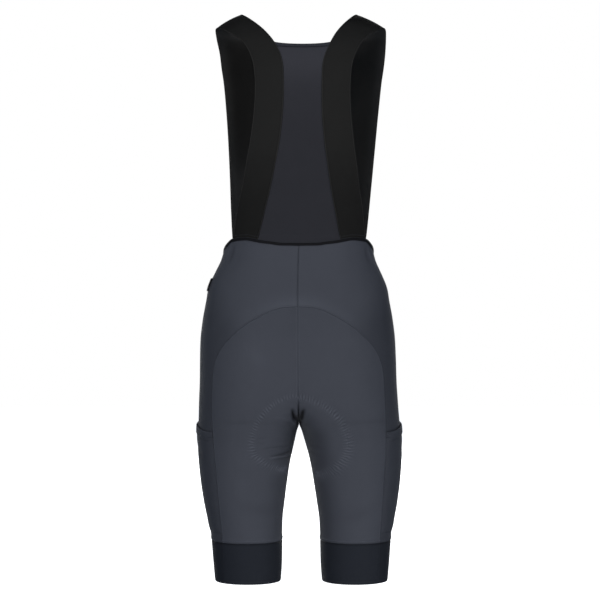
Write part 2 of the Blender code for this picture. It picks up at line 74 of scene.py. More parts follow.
# %% Sizes
MM = 0.001
TURN = 2 * math.pi
SHOULDER_HEIGHT = 902.0
KNIT = 1.2
GRIPPER_WALL = 1.8
GRIPPER_LIFT = 0.5
GRIPPER_TOP = 65.0
POCKET_WALL = 1.2
POCKET_LIFT = 0.4
POCKET_BOTTOM = 80.0
POCKET_MOUTH = {"back": 238.5, "front": 262.0}
POCKET_HEM = 14.0
MOUTH_EASE = {"rise": 2.6, "reach": 0.1}
POCKET_HEM_SWELL = 1.5
NET_WALL = 1.0
STRAP_WALL = 1.8
STRAP_CROWN = 2.0
WAIST_BAND = 3.2
NECK_BAND = 6.0
NECK_HEIGHT = 850.0
NECK_DIP = 2.2
NECK_DIP_ABOVE = 790.0
CROTCH = 252.0
JOIN_FADE = 30.0
JOIN_SOFT = 50.0
SHARED_TOP = 320.0
FRONT_SEAM_TURN = 222.0
SIDES = {"left": 1, "right": -1}
MIRRORS = {label: np.array([side, 1.0, 1.0]) for label, side in SIDES.items()}


def named(columns, rows):
    """A table as a dict of columns: each name with its values, from short rows of numbers."""
    return dict(zip(columns.split(), np.array(rows, float).T))


print("From hem to shoulder:", SHOULDER_HEIGHT, "mm")

# %% Sections of the shorts: outer and inner half widths, where front and back reach furthest, and depths
BODY = named("height outer middle inner back front", (
    (0, 137.4, 85.5, 33.3, 60, 62),
    (32, 140.2, 86, 31.2, 64, 67),
    (65, 142.9, 87, 30.6, 68, 73),
    (96, 147.4, 88.5, 29.6, 72, 78),
    (128, 153.4, 90, 25.7, 77, 84),
    (160, 157.8, 90, 21.2, 81, 89),
    (192, 160.6, 88.5, 15.8, 86, 93),
    (224, 162, 85, 8, 92, 96),
    (240, 161.6, 82.5, 3.8, 97, 97),
    (252, 160.9, 80.2, 0, 100.7, 97.6),
    (262, 160.25, 78.05, 0, 103.55, 98),
    (290, 158.8, 72, 0, 111, 98.5),
    (320, 157.3, 66, 0, 116, 98),
    (352, 156.7, 61, 0, 118, 97),
    (384, 155.6, 56, 0, 116, 95),
    (416, 152, 52, 0, 109, 93),
    (448, 146.3, 49, 0, 99, 90),
    (464, 143.7, 47.5, 0, 94, 88),
    (480, 138.2, 46, 0, 89, 86),
    (496, 130.6, 44, 0, 85, 84),
    (512, 123.3, 42, 0, 82, 82),
    (528, 119.4, 40.5, 0, 80.5, 81),
    (552, 117, 40, 0, 80, 80),
))
TORSO = named("height half_width middle back front", (
    (534, 119, 40, 80, 84),
    (580, 124, 36, 86, 89),
    (640, 134, 30, 96, 98),
    (700, 145, 25, 103, 108),
    (750, 152, 22, 106, 113),
    (800, 158, 20, 104, 110),
    (850, 162, 20, 90, 94),
))
LEAN = named("height shift", (
    (0, -3.3), (60, -3), (140, -2), (210, -1), (240, 0), (290, 1.4), (340, 2), (400, 2.5), (470, 2.4),
    (520, 1.4), (545, 0.2), (600, -1.4), (660, -3.2), (730, -4.7), (800, -5.4), (840, -5.4),
    (870, -3.1), (905, 0.9),
))
print("Sections:", len(BODY["height"]), "of the shorts,", len(TORSO["height"]), "of the upper body")

# %% Seams, edges and straps
ARCH = named("x height", (
    (0, 438), (20, 437), (36, 433.5), (60, 422.5), (85, 407), (102, 391.3), (109, 384),
))
SIDE_SEAM = named("height x", (
    (0, 122), (35, 123), (68, 124), (92, 126), (117, 128.2), (149, 130.5), (181, 132.7), (212, 135),
    (261, 136), (281, 135.6), (320, 134.2), (344, 131.5), (360, 126), (377, 115.4), (384, 109),
))
WAIST = named("turn height", (
    (0, 533.6), (73, 534.2), (103, 537.8), (113, 540.3), (124, 542.6), (145, 541.8), (162, 533.5),
    (180, 525.5), (200, 513), (225, 500), (255, 491), (290, 487.5), (360, 487),
))
STRAP_BACK = named("height inner_x outer_x", (
    (546, 65.3, 104.3), (584, 55.4, 99.7), (627, 46.2, 91.7), (662, 40, 86.5), (700, 34, 80.5),
    (740, 30.3, 76), (790, 29.5, 74.8), (820, 31.5, 78.5),
))
STRAP_SHOULDER = named("inner_x inner_y inner_height outer_x outer_y outer_height", (
    (43, 85, NECK_HEIGHT, 91, 74, 849),
    (55, 66, 869, 105, 57, 864),
    (72, 40, 888, 121, 33, 875),
    (92, 4, 904, 135.4, 4, 881),
    (91, -28, 896, 136.6, -24, 869),
    (87, -54, 875, 134.6, -44, 850),
    (82, -76, 846, 132.1, -56, 826),
))
STRAP_FRONT = named("height inner_x outer_x", (
    (800, 76.5, 128.6), (745, 72, 123.4), (690, 68.5, 119), (640, 65.5, 115.3), (590, 62.5, 111.8),
    (555, 60, 109), (505, 56, 102),
))
STRAP_STATIONS = len(STRAP_BACK["height"]) + len(STRAP_SHOULDER["inner_x"]) + len(STRAP_FRONT["height"])
print("Strap stations:", STRAP_STATIONS)

# %% [markdown]
# ## Smooth curves through short tables
#
# A table read in straight steps gives a faceted form, and a plain spline may swing past its knots. A
# monotone cubic does neither: its slope at a knot is the harmonic mean of the slopes beside it. The
# straps turn over in space, so their rows follow a path whose slopes come from parabolas instead.


# %% Curve readers
def cubic_piece(part, length, start, end, slope_start, slope_end):
    """A cubic between two values with given slopes at both: an S-shaped blend of the values, plus each
    slope's own bump, which is gone again at the ends."""
    blend = part * part * (3 - 2 * part)
    lean_start = slope_start * length * part * (1 - part) ** 2
    lean_end = slope_end * length * part * part * (part - 1)
    return start + (end - start) * blend + lean_start + lean_end


def read_curve(knots, values, where):
    """A curve through the knots that never overshoots. The slope at a knot is the harmonic mean of the
    slopes on its two sides, and it is level where those two disagree in sign."""
    slopes = np.diff(values) / np.diff(knots)
    before, after = slopes[:-1], slopes[1:]
    agree = before * after > 0
    total = np.where(agree, before + after, 1.0)
    tangents = np.concatenate([slopes[:1], np.where(agree, 2 * before * after / total, 0.0), slopes[-1:]])
    where = np.asarray(where, float)
    piece = np.clip(np.searchsorted(knots, where, side="right") - 1, 0, len(slopes) - 1)
    length = np.diff(knots)[piece]
    part = (where - knots[piece]) / length
    return cubic_piece(part, length, values[piece], values[piece + 1], tangents[piece], tangents[piece + 1])


def column(table, name, where):
    """One column of a table, read at any value of the first column, which rises from row to row."""
    return read_curve(next(iter(table.values())), table[name], where)


def smooth_path(stations, counts):
    """Rows of numbers carried smoothly through stations. counts gives (first station, last station,
    steps) for each stretch. The slope at a station is the one of the parabola through its neighbours."""
    gaps = np.linalg.norm(np.diff(stations, axis=0), axis=1)
    along = np.concatenate([[0.0], np.cumsum(gaps)])
    tangents = np.gradient(stations, along, axis=0, edge_order=2)
    stretches = [np.linspace(along[a], along[b], steps + 1)[:-1] for a, b, steps in counts]
    where = np.concatenate(stretches + [along[-1:]])
    piece = np.clip(np.searchsorted(along, where, side="right") - 1, 0, len(gaps) - 1)
    part = ((where - along[piece]) / gaps[piece])[:, None]
    return cubic_piece(
        part, gaps[piece, None], stations[piece], stations[piece + 1], tangents[piece], tangents[piece + 1])


def read_points(where, knots, points):
    """Points in straight steps between those of a path, at any places along it."""
    return np.stack([np.interp(where, knots, points[:, i]) for i in range(3)], -1)


def between(first, last, share):
    """The value that lies at a share of the way from the first to the last."""
    return first * (1 - share) + last * share


def unit(vectors):
    """Vectors made 1 long: each divided by its length."""
    return vectors / np.linalg.norm(vectors, axis=-1, keepdims=True)


def smooth_step(value, start, end):
    """0 before start, 1 after end, and an S-shaped rise between them."""
    share = np.clip((value - start) / (end - start), 0.0, 1.0)
    return share * share * (3 - 2 * share)


def bell(value, width):
    """1 at 0, and falling off on both sides: e to the power of minus the square of their ratio."""
    return np.exp(-(value / width) ** 2)


print("Half width at the hip:", round(float(column(BODY, "outer", 352)), 1), "mm")

# %% [markdown]
# ## The form of the shorts
#
# Stretch cloth takes the form of what fills it, so all the lower panels lie on one form. Each of its
# sections is two half ovals joined where the back reaches furthest. A point is found by its height and
# its turn about the leg. Above the crotch the two legs' ovals open towards each other and melt into one.


# %% The form, and the direction out of it
def body_section(height):
    """A section's outer half width, its middle, and half the gap between the legs."""
    low = np.minimum(height, CROTCH)
    return column(BODY, "outer", height), column(BODY, "middle", height), column(BODY, "inner", low)


def legs_parted(cosine, height):
    """How far the two legs are parted: 1 below the crotch, and fading to 0 above it. At the very middle
    that begins sharply. Away from it the change is spread over more height."""
    above = height - CROTCH
    soft = JOIN_SOFT * (1 - cosine ** 2)
    return np.exp(-(above + np.sqrt(above ** 2 + soft ** 2)) / (2 * JOIN_FADE))


def body_point(turn, height):
    """A point on the wearer's left side. x is the middle less the half width times the cosine of the
    turn. y is the depth times the root of 1 less that cosine squared. The turn is 0 at the inner leg,
    90 degrees at the back, 180 outside and 270 in front."""
    outer, middle, inner = body_section(height)
    cosine = np.cos(turn)
    inside = cosine > 0
    x = middle - np.where(inside, middle - inner, outer - middle) * cosine
    behind = np.sin(turn) >= 0
    depth = np.where(behind, column(BODY, "back", height), -column(BODY, "front", height))
    parted = np.where(inside, legs_parted(cosine, height), 1.0)
    y = depth * np.sqrt(1 - (parted * cosine) ** 2)
    return np.stack([x, y, height + 0.0 * turn], axis=-1)


def body_normal(turn, height):
    """The outward direction there, from small steps round and up the form. Above the crotch a step
    round stops at the centre plane, and on that plane the direction has no part across it."""
    round_step, up_step = 0.01, 0.2
    above = height > CROTCH
    ahead = np.where(above, np.minimum(turn + round_step, TURN), turn + round_step)
    behind = np.where(above, np.maximum(turn - round_step, 0.0), turn - round_step)
    around = body_point(ahead, height) - body_point(behind, height)
    upwards = body_point(turn, height + up_step) - body_point(turn, height - up_step)
    normal = unit(np.cross(upwards, around))
    centred = (body_point(turn, height)[..., 0] < 0.01) & (height >= CROTCH)
    normal[centred, 0] = 0.0
    return unit(normal)


def turn_at(x, height):
    """The turn on the back half at which the form is x from the centre plane."""
    outer, middle, inner = body_section(height)
    reach = np.where(x < middle, middle - inner, outer - middle)
    return np.arccos(np.clip((middle - x) / reach, -1.0, 1.0))


def side_turn(height):
    """The turn of the side seam at a height."""
    return turn_at(column(SIDE_SEAM, "x", height), height)


def waist_height(turn):
    """The height of the waist edge at a turn."""
    return column(WAIST, "height", np.degrees(turn))


print("Back of the hip:", body_point(np.array(math.pi / 2), np.array(352.0)).round(1))

# %% [markdown]
# ## Creases
#
# Stretch cloth is smooth where it is full and creases only where it is pulled or pressed: at the crotch,
# on the inner thigh, at the waist and where a pocket ends. A simulation would not put them there, so
# each is listed as a soft trough or ridge along a short curve, all of unlike length and depth.
# A point's share of a crease falls off with its distance, as a bell curve. Troughs also get painted
# shade and ridges painted light, and some rows are painted shade alone, with no depth.

# %% Creases of the back: x is from the centre plane, on the wearer's left if positive; bow bends a
# crease, and shade is painted shade that darkens it more than its depth does
CREASES_BACK = named("x height end_x end_height width depth bow shade", (
    (9.6, 277, 5.5, 260, 2.8, -3.4, 2, -0.3),
    (-7.6, 277, -3.6, 261, 2.8, -3.4, -2, -0.45),
    (0.2, 288, 0.2, 256, 1.5, -1.8, 0, -0.1),
    (4.2, 267, 1, 252, 2.9, -1, 0, -0.65),
    (-3.2, 266, -1, 252, 2.9, -1, 0, -0.65),
    (3.8, 280, 2.6, 269, 1.3, 1.2, 0, 0),
    (36, 265, 5, 252, 2.1, 0.8, -3, 0),
    (-30, 262, -38, 205, 15, 0, 0, -0.1),
    (15, 256, 8, 240, 4, -0.9, 1, 0.1),
    (-21, 262, -8, 243, 5, -0.5, -2, 0),
    (57, 215.5, 18, 217, 1.3, -0.9, -1.5, 0),
    (46, 203, 12.5, 210.5, 1.6, -1.9, 0.8, 0),
    (46, 200.5, 12.5, 205.5, 1.7, 1.3, 0.8, 0),
    (42, 197.5, 15, 199.5, 1.7, -1, 0, 0),
    (68, 231, 52, 232.5, 1.3, -0.5, -0.5, 0),
    (67, 224, 54, 224.5, 1.3, -0.45, 0, 0),
    (-30, 206, -12, 209, 2.4, -0.5, -1, 0),
    (-42, 214, -16, 219, 2.4, -0.35, -1, 0),
    (107, 537, 114.5, 514, 1.9, 1.4, 1, 0.15),
    (101.5, 532, 108.5, 507, 1.9, -1.4, 1, -0.05),
    (97, 533, 102, 519, 2.2, 0.5, 1, 0),
    (-109, 531, -117, 508, 1.8, 1.1, -1, 0.15),
    (-105, 529, -112, 507, 1.9, -1.1, -1, 0),
    (60, 372, 76, 352, 24, 0.35, 4, 0),
    (40, 118, 100, 132, 9, -0.4, 6, 0),
    (-110, 124, -60, 106, 10, -0.4, 5, 0),
))
# Painted shade in a trough and painted light on a ridge, per millimetre of depth
SHADE_OF_DEPTH = 0.19
CREASE_REACH = 3

# %% Creases of the front and the sides, by the turn from the inner leg; side is 1 left, -1 right
CREASES_ROUND = named("side turn height end_turn end_height width depth bow", (
    (1, 168, 211, 148, 201, 7, -0.9, 2),
    (1, 198, 222, 168, 213, 8, -0.6, 3),
    (-1, 168, 212, 194, 221, 7, -0.8, 2),
    (1, 300, 262, 340, 250, 5, -1.6, 2),
    (-1, 303, 266, 341, 251, 5, -1.5, 2),
    (1, 262, 318, 318, 272, 8, -1.3, 6),
    (-1, 258, 322, 316, 275, 8, -1.2, 5),
    (1, 274, 344, 322, 306, 9, -0.7, 6),
    (-1, 270, 350, 318, 312, 9, -0.8, 7),
    (1, 330, 226, 352, 214, 3, -0.8, 1),
    (-1, 332, 222, 353, 212, 3, -0.7, 1),
    (1, 236, 494, 228, 462, 4, -0.6, 2),
    (-1, 238, 494, 229, 458, 4, -0.7, 2),
    (1, 262, 488, 258, 458, 4, -0.5, 1),
    (-1, 264, 488, 259, 462, 4, -0.5, 1),
    (1, 190, 512, 176, 486, 4, -0.6, 2),
    (-1, 192, 510, 177, 484, 4, -0.6, 2),
    (1, 226, 150, 262, 138, 9, -0.5, 4),
    (-1, 230, 146, 268, 136, 9, -0.5, 4),
    (1, 176, 236, 186, 210, 5, 0.5, 2),
))
CREASE_STEPS = 14
CREASE_END = 0.12


def crease_paths():
    """Every crease as a row of points on the form, with its width, depth and shade: straight in turn
    and height, and bent by its bow in the middle."""
    share = np.linspace(0.0, 1.0, CREASE_STEPS)
    back, round_it = CREASES_BACK, dict(CREASES_ROUND, shade=0 * CREASES_ROUND["side"])
    first = turn_at(np.abs(back["x"]), back["height"])
    last = turn_at(np.abs(back["end_x"]), back["end_height"])
    sides = np.concatenate([np.where(back["x"] < 0, -1.0, 1.0), round_it["side"]])
    joined = {key: np.concatenate([back[key], round_it[key]])[:, None]
              for key in ("height", "end_height", "width", "depth", "bow", "shade")}
    start = np.concatenate([first, np.radians(round_it["turn"])])[:, None]
    end = np.concatenate([last, np.radians(round_it["end_turn"])])[:, None]
    turns = start + (end - start) * share
    heights = joined["height"] + (joined["end_height"] - joined["height"]) * share
    heights = heights - joined["bow"] * 4 * share * (1 - share)
    points = body_point(turns, heights)
    points[..., 0] *= sides[:, None]
    shade = joined["depth"] * SHADE_OF_DEPTH + joined["shade"]
    return points, joined["width"][:, 0], joined["depth"][:, 0], shade[:, 0]


def crease_depth(points):
    """How far the creases move each point, and how much painted shade darkens it, or painted light lightens
    it on a ridge: a bell curve of its distance over the width, fading towards both ends of the crease. The
    nearest place is found along its chord."""
    moved, shaded = np.zeros((2, len(points)))
    for path, width, depth, shade in zip(*crease_paths()):
        reach = CREASE_REACH * width + np.ptp(path, axis=0).max()
        near = np.flatnonzero(np.abs(points - path.mean(0)).max(1) < reach)
        chord = path[-1] - path[0]
        steps = (path - path[0]) @ chord / (chord @ chord)
        share = np.clip((points[near] - path[0]) @ chord / (chord @ chord), 0.0, 1.0)
        spot = read_points(share, steps, path)
        gap = np.linalg.norm(points[near] - spot, axis=1)
        pull = np.sin(np.pi * (CREASE_END + (1 - 2 * CREASE_END) * share)) * bell(gap, width)
        moved[near] += depth * pull
        shaded[near] += shade * pull
    return moved, shaded


print("Creases:", len(CREASES_BACK["x"]) + len(CREASES_ROUND["side"]))

# %% [markdown]
# ## The seat pad's stitch line
#
# A foam pad is sewn inside. From outside only its outline shows: a stitched groove that pulls the
# stretched cloth into short puckers, and the pad's slight thickness within it. The outline is a smooth
# curve over both legs. Puckers are a wave along that curve, faded with the distance from it.

# %% The pad's outline on each half, from the centre back over the inner leg to the centre front
PAD_BACK = {
    1: named("x height", (
        (0, 297.5), (18, 296.4), (33, 289.6), (57.8, 266.6), (72.4, 238.1), (74.3, 222.2), (70.9, 208),
        (61.8, 198.3), (36, 184.5),
    )),
    -1: named("x height", (
        (0, 296.8), (18, 293.2), (33.4, 286.6), (61.5, 263.4), (73.3, 236.5), (75.2, 222.2),
        (72.5, 208), (56, 187), (35.7, 175.9),
    )),
}
PAD_FRONT = named("x height", (
    (38, 184), (54, 198), (60, 220), (57, 246), (46, 274), (28, 298), (0, 309),
))
PAD_LOW = {1: 182.0, -1: 173.5}
PAD_FRONT_DROP = 8.0
PAD_FRONT_DROPS = (260.0, 190.0)
PAD_RISE = 0.5
PAD_EDGE = 9.0
PAD_STEPS = 420
PAD_REACH = 25.0
PAD_CHUNK = 4000
PAD_FADE = (0.12, 0.9)
TURN_SPAN = 60.0
STITCH_GROOVE = {"depth": 0.35, "width": 1.3}
PUCKER_PITCH = 4.6
PUCKER_HEIGHT = 0.4
PUCKERS = named("place strength outside inside slant", (
    (0, 0.9, 3.8, 2.6, 0.1),
    (60, 1.1, 4.2, 3, 0.1),
    (105, 1, 5.5, 4, 0.1),
    (140, 1, 6.5, 4.2, 0.2),
    (165, 1.1, 8, 4.5, 0.3),
    (190, 2, 8, 5, 0.4),
    (215, 2.6, 8, 5, 0.4),
    (240, 0, 8, 4, 0.4),
    (300, 0, 5, 4, 0.1),
    (340, 0.8, 5, 4, 0.1),
    (720, 0.8, 5, 4, 0.1),
))
PUCKERS_RIGHT_LONGER = 1.35
PUCKERS_EVEN = 0.8
UNEVEN = named("size rate start slant", ((0.15, 1 / 11, 2, 0), (0.3, 0.83, 0, 0.4)))
WANDER = named("size rate start slant", ((0.8, 1 / 17, 0, 0), (0.5, 1 / 7.3, 0, 0), (0.5, 1 / 3.1, 0, 0.5)))


def waves(table, place, away):
    """The sum of a table's waves. Each is its size times the sine of its rate times the place, plus
    its start and its slant times the distance from the line."""
    return sum(size * np.sin(place * rate + start + slant * away)
               for size, rate, start, slant in zip(*table.values()))


def pad_outline(side):
    """Turns and heights of the outline. On the right it hangs a little lower than on the left."""
    line = PAD_BACK[side]
    back = turn_at(line["x"], line["height"])
    front = -turn_at(PAD_FRONT["x"], PAD_FRONT["height"])
    front_heights = PAD_FRONT["height"]
    if side < 0:
        front_heights = front_heights - PAD_FRONT_DROP * smooth_step(front_heights, *PAD_FRONT_DROPS)
    turns = np.concatenate([-back[1:2], back, [0.0], front, -front[-2:-1]])
    heights = np.concatenate([
        line["height"][1:2], line["height"], [PAD_LOW[side]], front_heights, front_heights[-2:-1]])
    rows = smooth_path(np.stack([turns * TURN_SPAN, heights], -1), [(1, len(turns) - 2, PAD_STEPS)])[:-1]
    turns, heights = rows[:, 0] / TURN_SPAN, rows[:, 1]
    length = np.linalg.norm(np.diff(body_point(turns, heights), axis=0), axis=1)
    along = np.concatenate([[0.0], np.cumsum(length)])
    even = np.linspace(0.0, along[-1], PAD_STEPS)
    return np.interp(even, along, turns), np.interp(even, along, heights), even


def pad_relief(points, normals, turns, side):
    """What the pad does at each point: how far it moves it outwards, how strong the puckers are there,
    and their phase in millimetres. Within the outline the cloth rises like a low cushion edge, which
    fades at the inner leg. Along it runs a narrow groove, crossed by the puckers: a wave at a regular
    pitch that wanders a little, and that fades inwards and outwards by a bell curve."""
    line_turns, line_heights, along = pad_outline(side)
    path = body_point(line_turns, line_heights)
    ahead = np.gradient(path, axis=0)
    from_inner_leg = np.minimum(turns % TURN, -turns % TURN)
    moved, strength, phase = (np.zeros(len(points)) for _ in range(3))
    near = np.flatnonzero(points[:, 2] < PAD_FRONT["height"].max() + PAD_REACH)
    for part in np.array_split(near, max(1, len(near) // PAD_CHUNK)):
        gaps = np.linalg.norm(points[part, None] - path, axis=2)
        best = gaps.argmin(1)
        offset = points[part] - path[best]
        away = np.copysign(gaps.min(1), (offset * np.cross(ahead[best], normals[part])).sum(1))
        place = np.clip(along[best] + (offset * unit(ahead[best])).sum(1), 0.0, along[-1])
        firm, outside, inside, slant = (
            column(PUCKERS, name, place) for name in ("strength", "outside", "inside", "slant"))
        reach = np.where(away > 0, outside, inside) * (PUCKERS_RIGHT_LONGER if side < 0 else 1.0)
        strength[part] = firm * (PUCKERS_EVEN + waves(UNEVEN, place, away)) * bell(away, reach)
        phase[part] = place + waves(WANDER, place, away) + slant * away
        rise = PAD_RISE * smooth_step(-away, 0.0, PAD_EDGE) * smooth_step(from_inner_leg[part], *PAD_FADE)
        groove = STITCH_GROOVE["depth"] * firm * bell(away, STITCH_GROOVE["width"])
        wave = PUCKER_HEIGHT * strength[part] * np.cos(TURN * phase[part] / PUCKER_PITCH)
        moved[part] = rise - groove + wave
    return moved, strength, phase


turns, heights, along = pad_outline(1)
print("Half the pad's outline:", round(along[-1]), "mm, with", round(along[-1] / PUCKER_PITCH), "puckers")

# %% [markdown]
# ## Lines that neighbouring panels share
#
# Two panels sewn together must meet along one line, or daylight shows in the seam. So each seam is one
# function of height or turn, and the panels on both sides of it are spread between such lines.

# %% Rows, seams and the waist edge
LEG_ROWS = 118
CROTCH_ROWS = 84
UPPER_ROWS = 50
LAST_ROWS = 7
CROWDING = 1.35
FINE = 600


def shares(*stretches):
    """Shares from 0 to 1, in stretches of even steps. Each stretch is its end and its number of steps."""
    ends = [0.0] + [end for end, _ in stretches]
    parts = [np.linspace(ends[i], ends[i + 1], steps + 1)[:-1] for i, (_, steps) in enumerate(stretches)]
    return np.concatenate(parts + [[1.0]])


def shared_rows():
    """Heights from the gripper to above the crotch. They crowd towards the crotch, and above it each
    step takes the centre seam back by about as much."""
    share = np.linspace(1.0, 0.0, LEG_ROWS + 1)[:-1]
    leg = CROTCH - (CROTCH - GRIPPER_TOP) * share ** CROWDING
    last_turn = math.acos(math.exp(-(SHARED_TOP - CROTCH) / JOIN_FADE))
    turns = np.linspace(0.0, last_turn, CROTCH_ROWS + 1)
    return np.concatenate([leg, CROTCH - JOIN_FADE * np.log(np.cos(turns))])


def rows_up_to(top):
    """The shared rows, and even steps from the last of them to a panel's top corner."""
    upper = shares((0.94, UPPER_ROWS - LAST_ROWS), (1, LAST_ROWS))
    return np.concatenate([shared_rows(), SHARED_TOP + (top - SHARED_TOP) * upper[1:]])


def lengths(points, axis):
    """How far each point of a grid is from its first row or column, measured over the grid."""
    steps = np.linalg.norm(np.diff(points, axis=axis), axis=-1)
    start = np.zeros_like(np.take(steps, [0], axis=axis))
    return np.concatenate([start, np.cumsum(steps, axis=axis)], axis=axis)


def spaced(points, at):
    """Shares of a fine line's samples at which its length is divided into the shares given."""
    along = lengths(points, 0)
    return np.interp(at * along[-1], along, np.linspace(0.0, 1.0, len(along)))


def arch_line(at):
    """Turn and height of points on the arch seam, from the centre back to its corner."""
    x = np.linspace(0.0, ARCH["x"][-1], FINE)
    x = x[-1] * spaced(np.stack([x, column(ARCH, "height", x)], -1), at)
    height = column(ARCH, "height", x)
    return turn_at(x, height), height


def waist_stretch(first, last, at):
    """Turn and height of points on the waist edge between two turns."""
    fine = np.linspace(first, last, FINE)
    turn = first + (last - first) * spaced(body_point(fine, waist_height(fine)), at)
    return turn, waist_height(turn)


def front_seam():
    """The front seam's turns and heights. It mirrors the side seam up to the shared top, and goes on
    from there to the waist."""
    heights = rows_up_to(float(waist_height(math.radians(FRONT_SEAM_TURN))))
    low = np.minimum(heights, SHARED_TOP)
    rise = (heights - low) / (heights[-1] - SHARED_TOP)
    top_turn = TURN - math.radians(FRONT_SEAM_TURN)
    return between(side_turn(low), top_turn, rise), heights


print("Rows up a panel:", len(rows_up_to(430.0)))


# %% The two kinds of panel
def leg_panel(seam_turns, seam_heights, top_turns, top_heights, across):
    """Turns and heights of a panel between the centre seam and a seam on the side. Rows are level up
    to the shared top. Above it they bend gradually into the top edge."""
    centre_heights = rows_up_to(top_heights[0])
    rise = np.clip(np.arange(len(centre_heights)) - (len(centre_heights) - 1 - UPPER_ROWS), 0, None)
    rise = (rise / UPPER_ROWS)[:, None]
    bow = top_heights - between(top_heights[0], top_heights[-1], across)
    heights = between(centre_heights[:, None], seam_heights[:, None], across) + rise * bow
    turns = across * seam_turns[:, None] + rise * (top_turns - across * seam_turns[-1])
    return turns, heights


def side_strip(along, across):
    """Turns and heights of the yoke and side panel: a strip from the centre back round to the
    gripper, between the arch and side seams on one edge and the waist and front seam on the other."""
    arch_turns, arch_heights = arch_line(along)
    seam_heights = rows_up_to(arch_heights[-1])[-2::-1]
    waist_turns, waist_heights = waist_stretch(0.0, math.radians(FRONT_SEAM_TURN), along)
    front_turns, front_heights = front_seam()
    near = np.stack([
        np.concatenate([arch_turns, side_turn(seam_heights)]),
        np.concatenate([arch_heights, seam_heights]),
    ])
    far = np.stack([
        np.concatenate([waist_turns, TURN - front_turns[-2::-1]]),
        np.concatenate([waist_heights, front_heights[-2::-1]]),
    ])
    return between(near[:, :, None], far[:, :, None], across)


print("Side strip:", side_strip(shares((1, 70)), shares((1, 50)))[0].shape)

# %% [markdown]
# ## Materials
#
# The cloth is a fine warp knit of dull yarn. It could be an image texture, but a pattern of nodes stays
# sharp at any zoom. All patterns follow the cloth's own UV map, in metres along its wales and courses,
# so they bend with it. Arithmetic on sockets is written as plain Python, by a small class.


# %% Sockets as numbers
def operator(operation, swapped=False):
    """A method that adds one Math node, for a sign such as + or *, also where a number comes first."""
    def method(self, other):
        return self.math(operation, *((other, self) if swapped else (self, other)))
    return method


class Shade:
    """One output of a node. Operators on it add Math nodes."""

    def __init__(self, finish, socket):
        self.finish = finish
        self.socket = socket

    def math(self, operation, *values, clamp=False):
        settings = {"operation": operation, "use_clamp": clamp}
        return self.finish.node("ShaderNodeMath", settings, dict(enumerate(values)))

    __add__, __radd__ = operator("ADD"), operator("ADD", True)
    __sub__, __rsub__ = operator("SUBTRACT"), operator("SUBTRACT", True)
    __mul__, __rmul__ = operator("MULTIPLY"), operator("MULTIPLY", True)
    __truediv__, __rtruediv__ = operator("DIVIDE"), operator("DIVIDE", True)

    def __abs__(self):
        return self.math("ABSOLUTE", self)

    def sine(self):
        return self.math("SINE", self)

    def clamped(self):
        return self.math("ADD", self, 0.0, clamp=True)

    def bell(self, width):
        """1 at 0, and down to a third at the width: e to the power of minus the square of their ratio."""
        return self.math("EXPONENT", (self / width) * (self / width) * -1.0)


class Finish:
    """A material with one Principled shader, and the one method that adds any node to it."""

    def __init__(self, name, roughness, sheen=0.0, sheen_roughness=0.5, specular=0.03):
        self.material = bpy.data.materials.new(name)
        self.material.use_nodes = True
        self.nodes = self.material.node_tree.nodes
        self.shader = self.nodes["Principled BSDF"]
        self.constant("Roughness", roughness)
        self.constant("Sheen Weight", sheen)
        self.constant("Sheen Roughness", sheen_roughness)
        self.constant("Specular IOR Level", specular)

    def constant(self, socket, value):
        self.shader.inputs[socket].default_value = value

    def node(self, kind, settings, values, output=0):
        """Adds a node of a kind. Settings are set first, then its sockets get numbers or links."""
        made = self.nodes.new(kind)
        for key, value in settings.items():
            setattr(made, key, value)
        for key, value in values.items():
            if isinstance(value, Shade):
                self.material.node_tree.links.new(value.socket, made.inputs[key])
            else:
                made.inputs[key].default_value = value
        return Shade(self, made.outputs[output])

    def feed(self, colour, relief, roughness=None):
        """Links what changes over the surface: its colour, its relief and, if it varies, its roughness."""
        varying = {"Base Color": colour, "Normal": self.bumped(relief), "Roughness": roughness}
        for socket, shade in varying.items():
            if shade:
                self.material.node_tree.links.new(shade.socket, self.shader.inputs[socket])

    def cloth_place(self):
        """Millimetres across and along the cloth, from its own UV map."""
        place = self.node("ShaderNodeUVMap", {"uv_map": "cloth"}, {})
        parts = [self.node("ShaderNodeSeparateXYZ", {}, {0: place}, output) for output in (0, 1)]
        return parts[0] * 1000.0, parts[1] * 1000.0

    def field(self, name):
        """A number that the mesh carries at each of its points."""
        return self.node("ShaderNodeAttribute", {"attribute_name": name}, {}, 2)

    def noise(self, scale, detail=2.0):
        """Cloudy noise about 0, from -0.5 to 0.5. The scale is in clouds per metre."""
        place = self.node("ShaderNodeTexCoord", {}, {}, 3)
        return self.node("ShaderNodeTexNoise", {}, {"Vector": place, "Scale": scale, "Detail": detail}) - 0.5

    def mixed(self, share, first, second):
        """A colour between two others."""
        return self.node("ShaderNodeMix", {"data_type": "RGBA"}, {0: share, 6: first, 7: second}, 2)

    def bumped(self, height):
        """Small relief, whose height is in millimetres."""
        return self.node("ShaderNodeBump", {}, {"Strength": 1.0, "Distance": MM, "Height": height})


def screen_colour(red, green, blue, gain=1.0):
    """A colour given as screen values from 0 to 255, as the linear numbers that a shader takes."""
    screen = np.array([red, green, blue]) / 255.0
    linear = np.where(screen <= 0.04045, screen / 12.92, ((screen + 0.055) / 1.055) ** 2.4)
    return (*(linear * gain).tolist(), 1.0)


print("White as a shader takes it:", screen_colour(255, 255, 255))
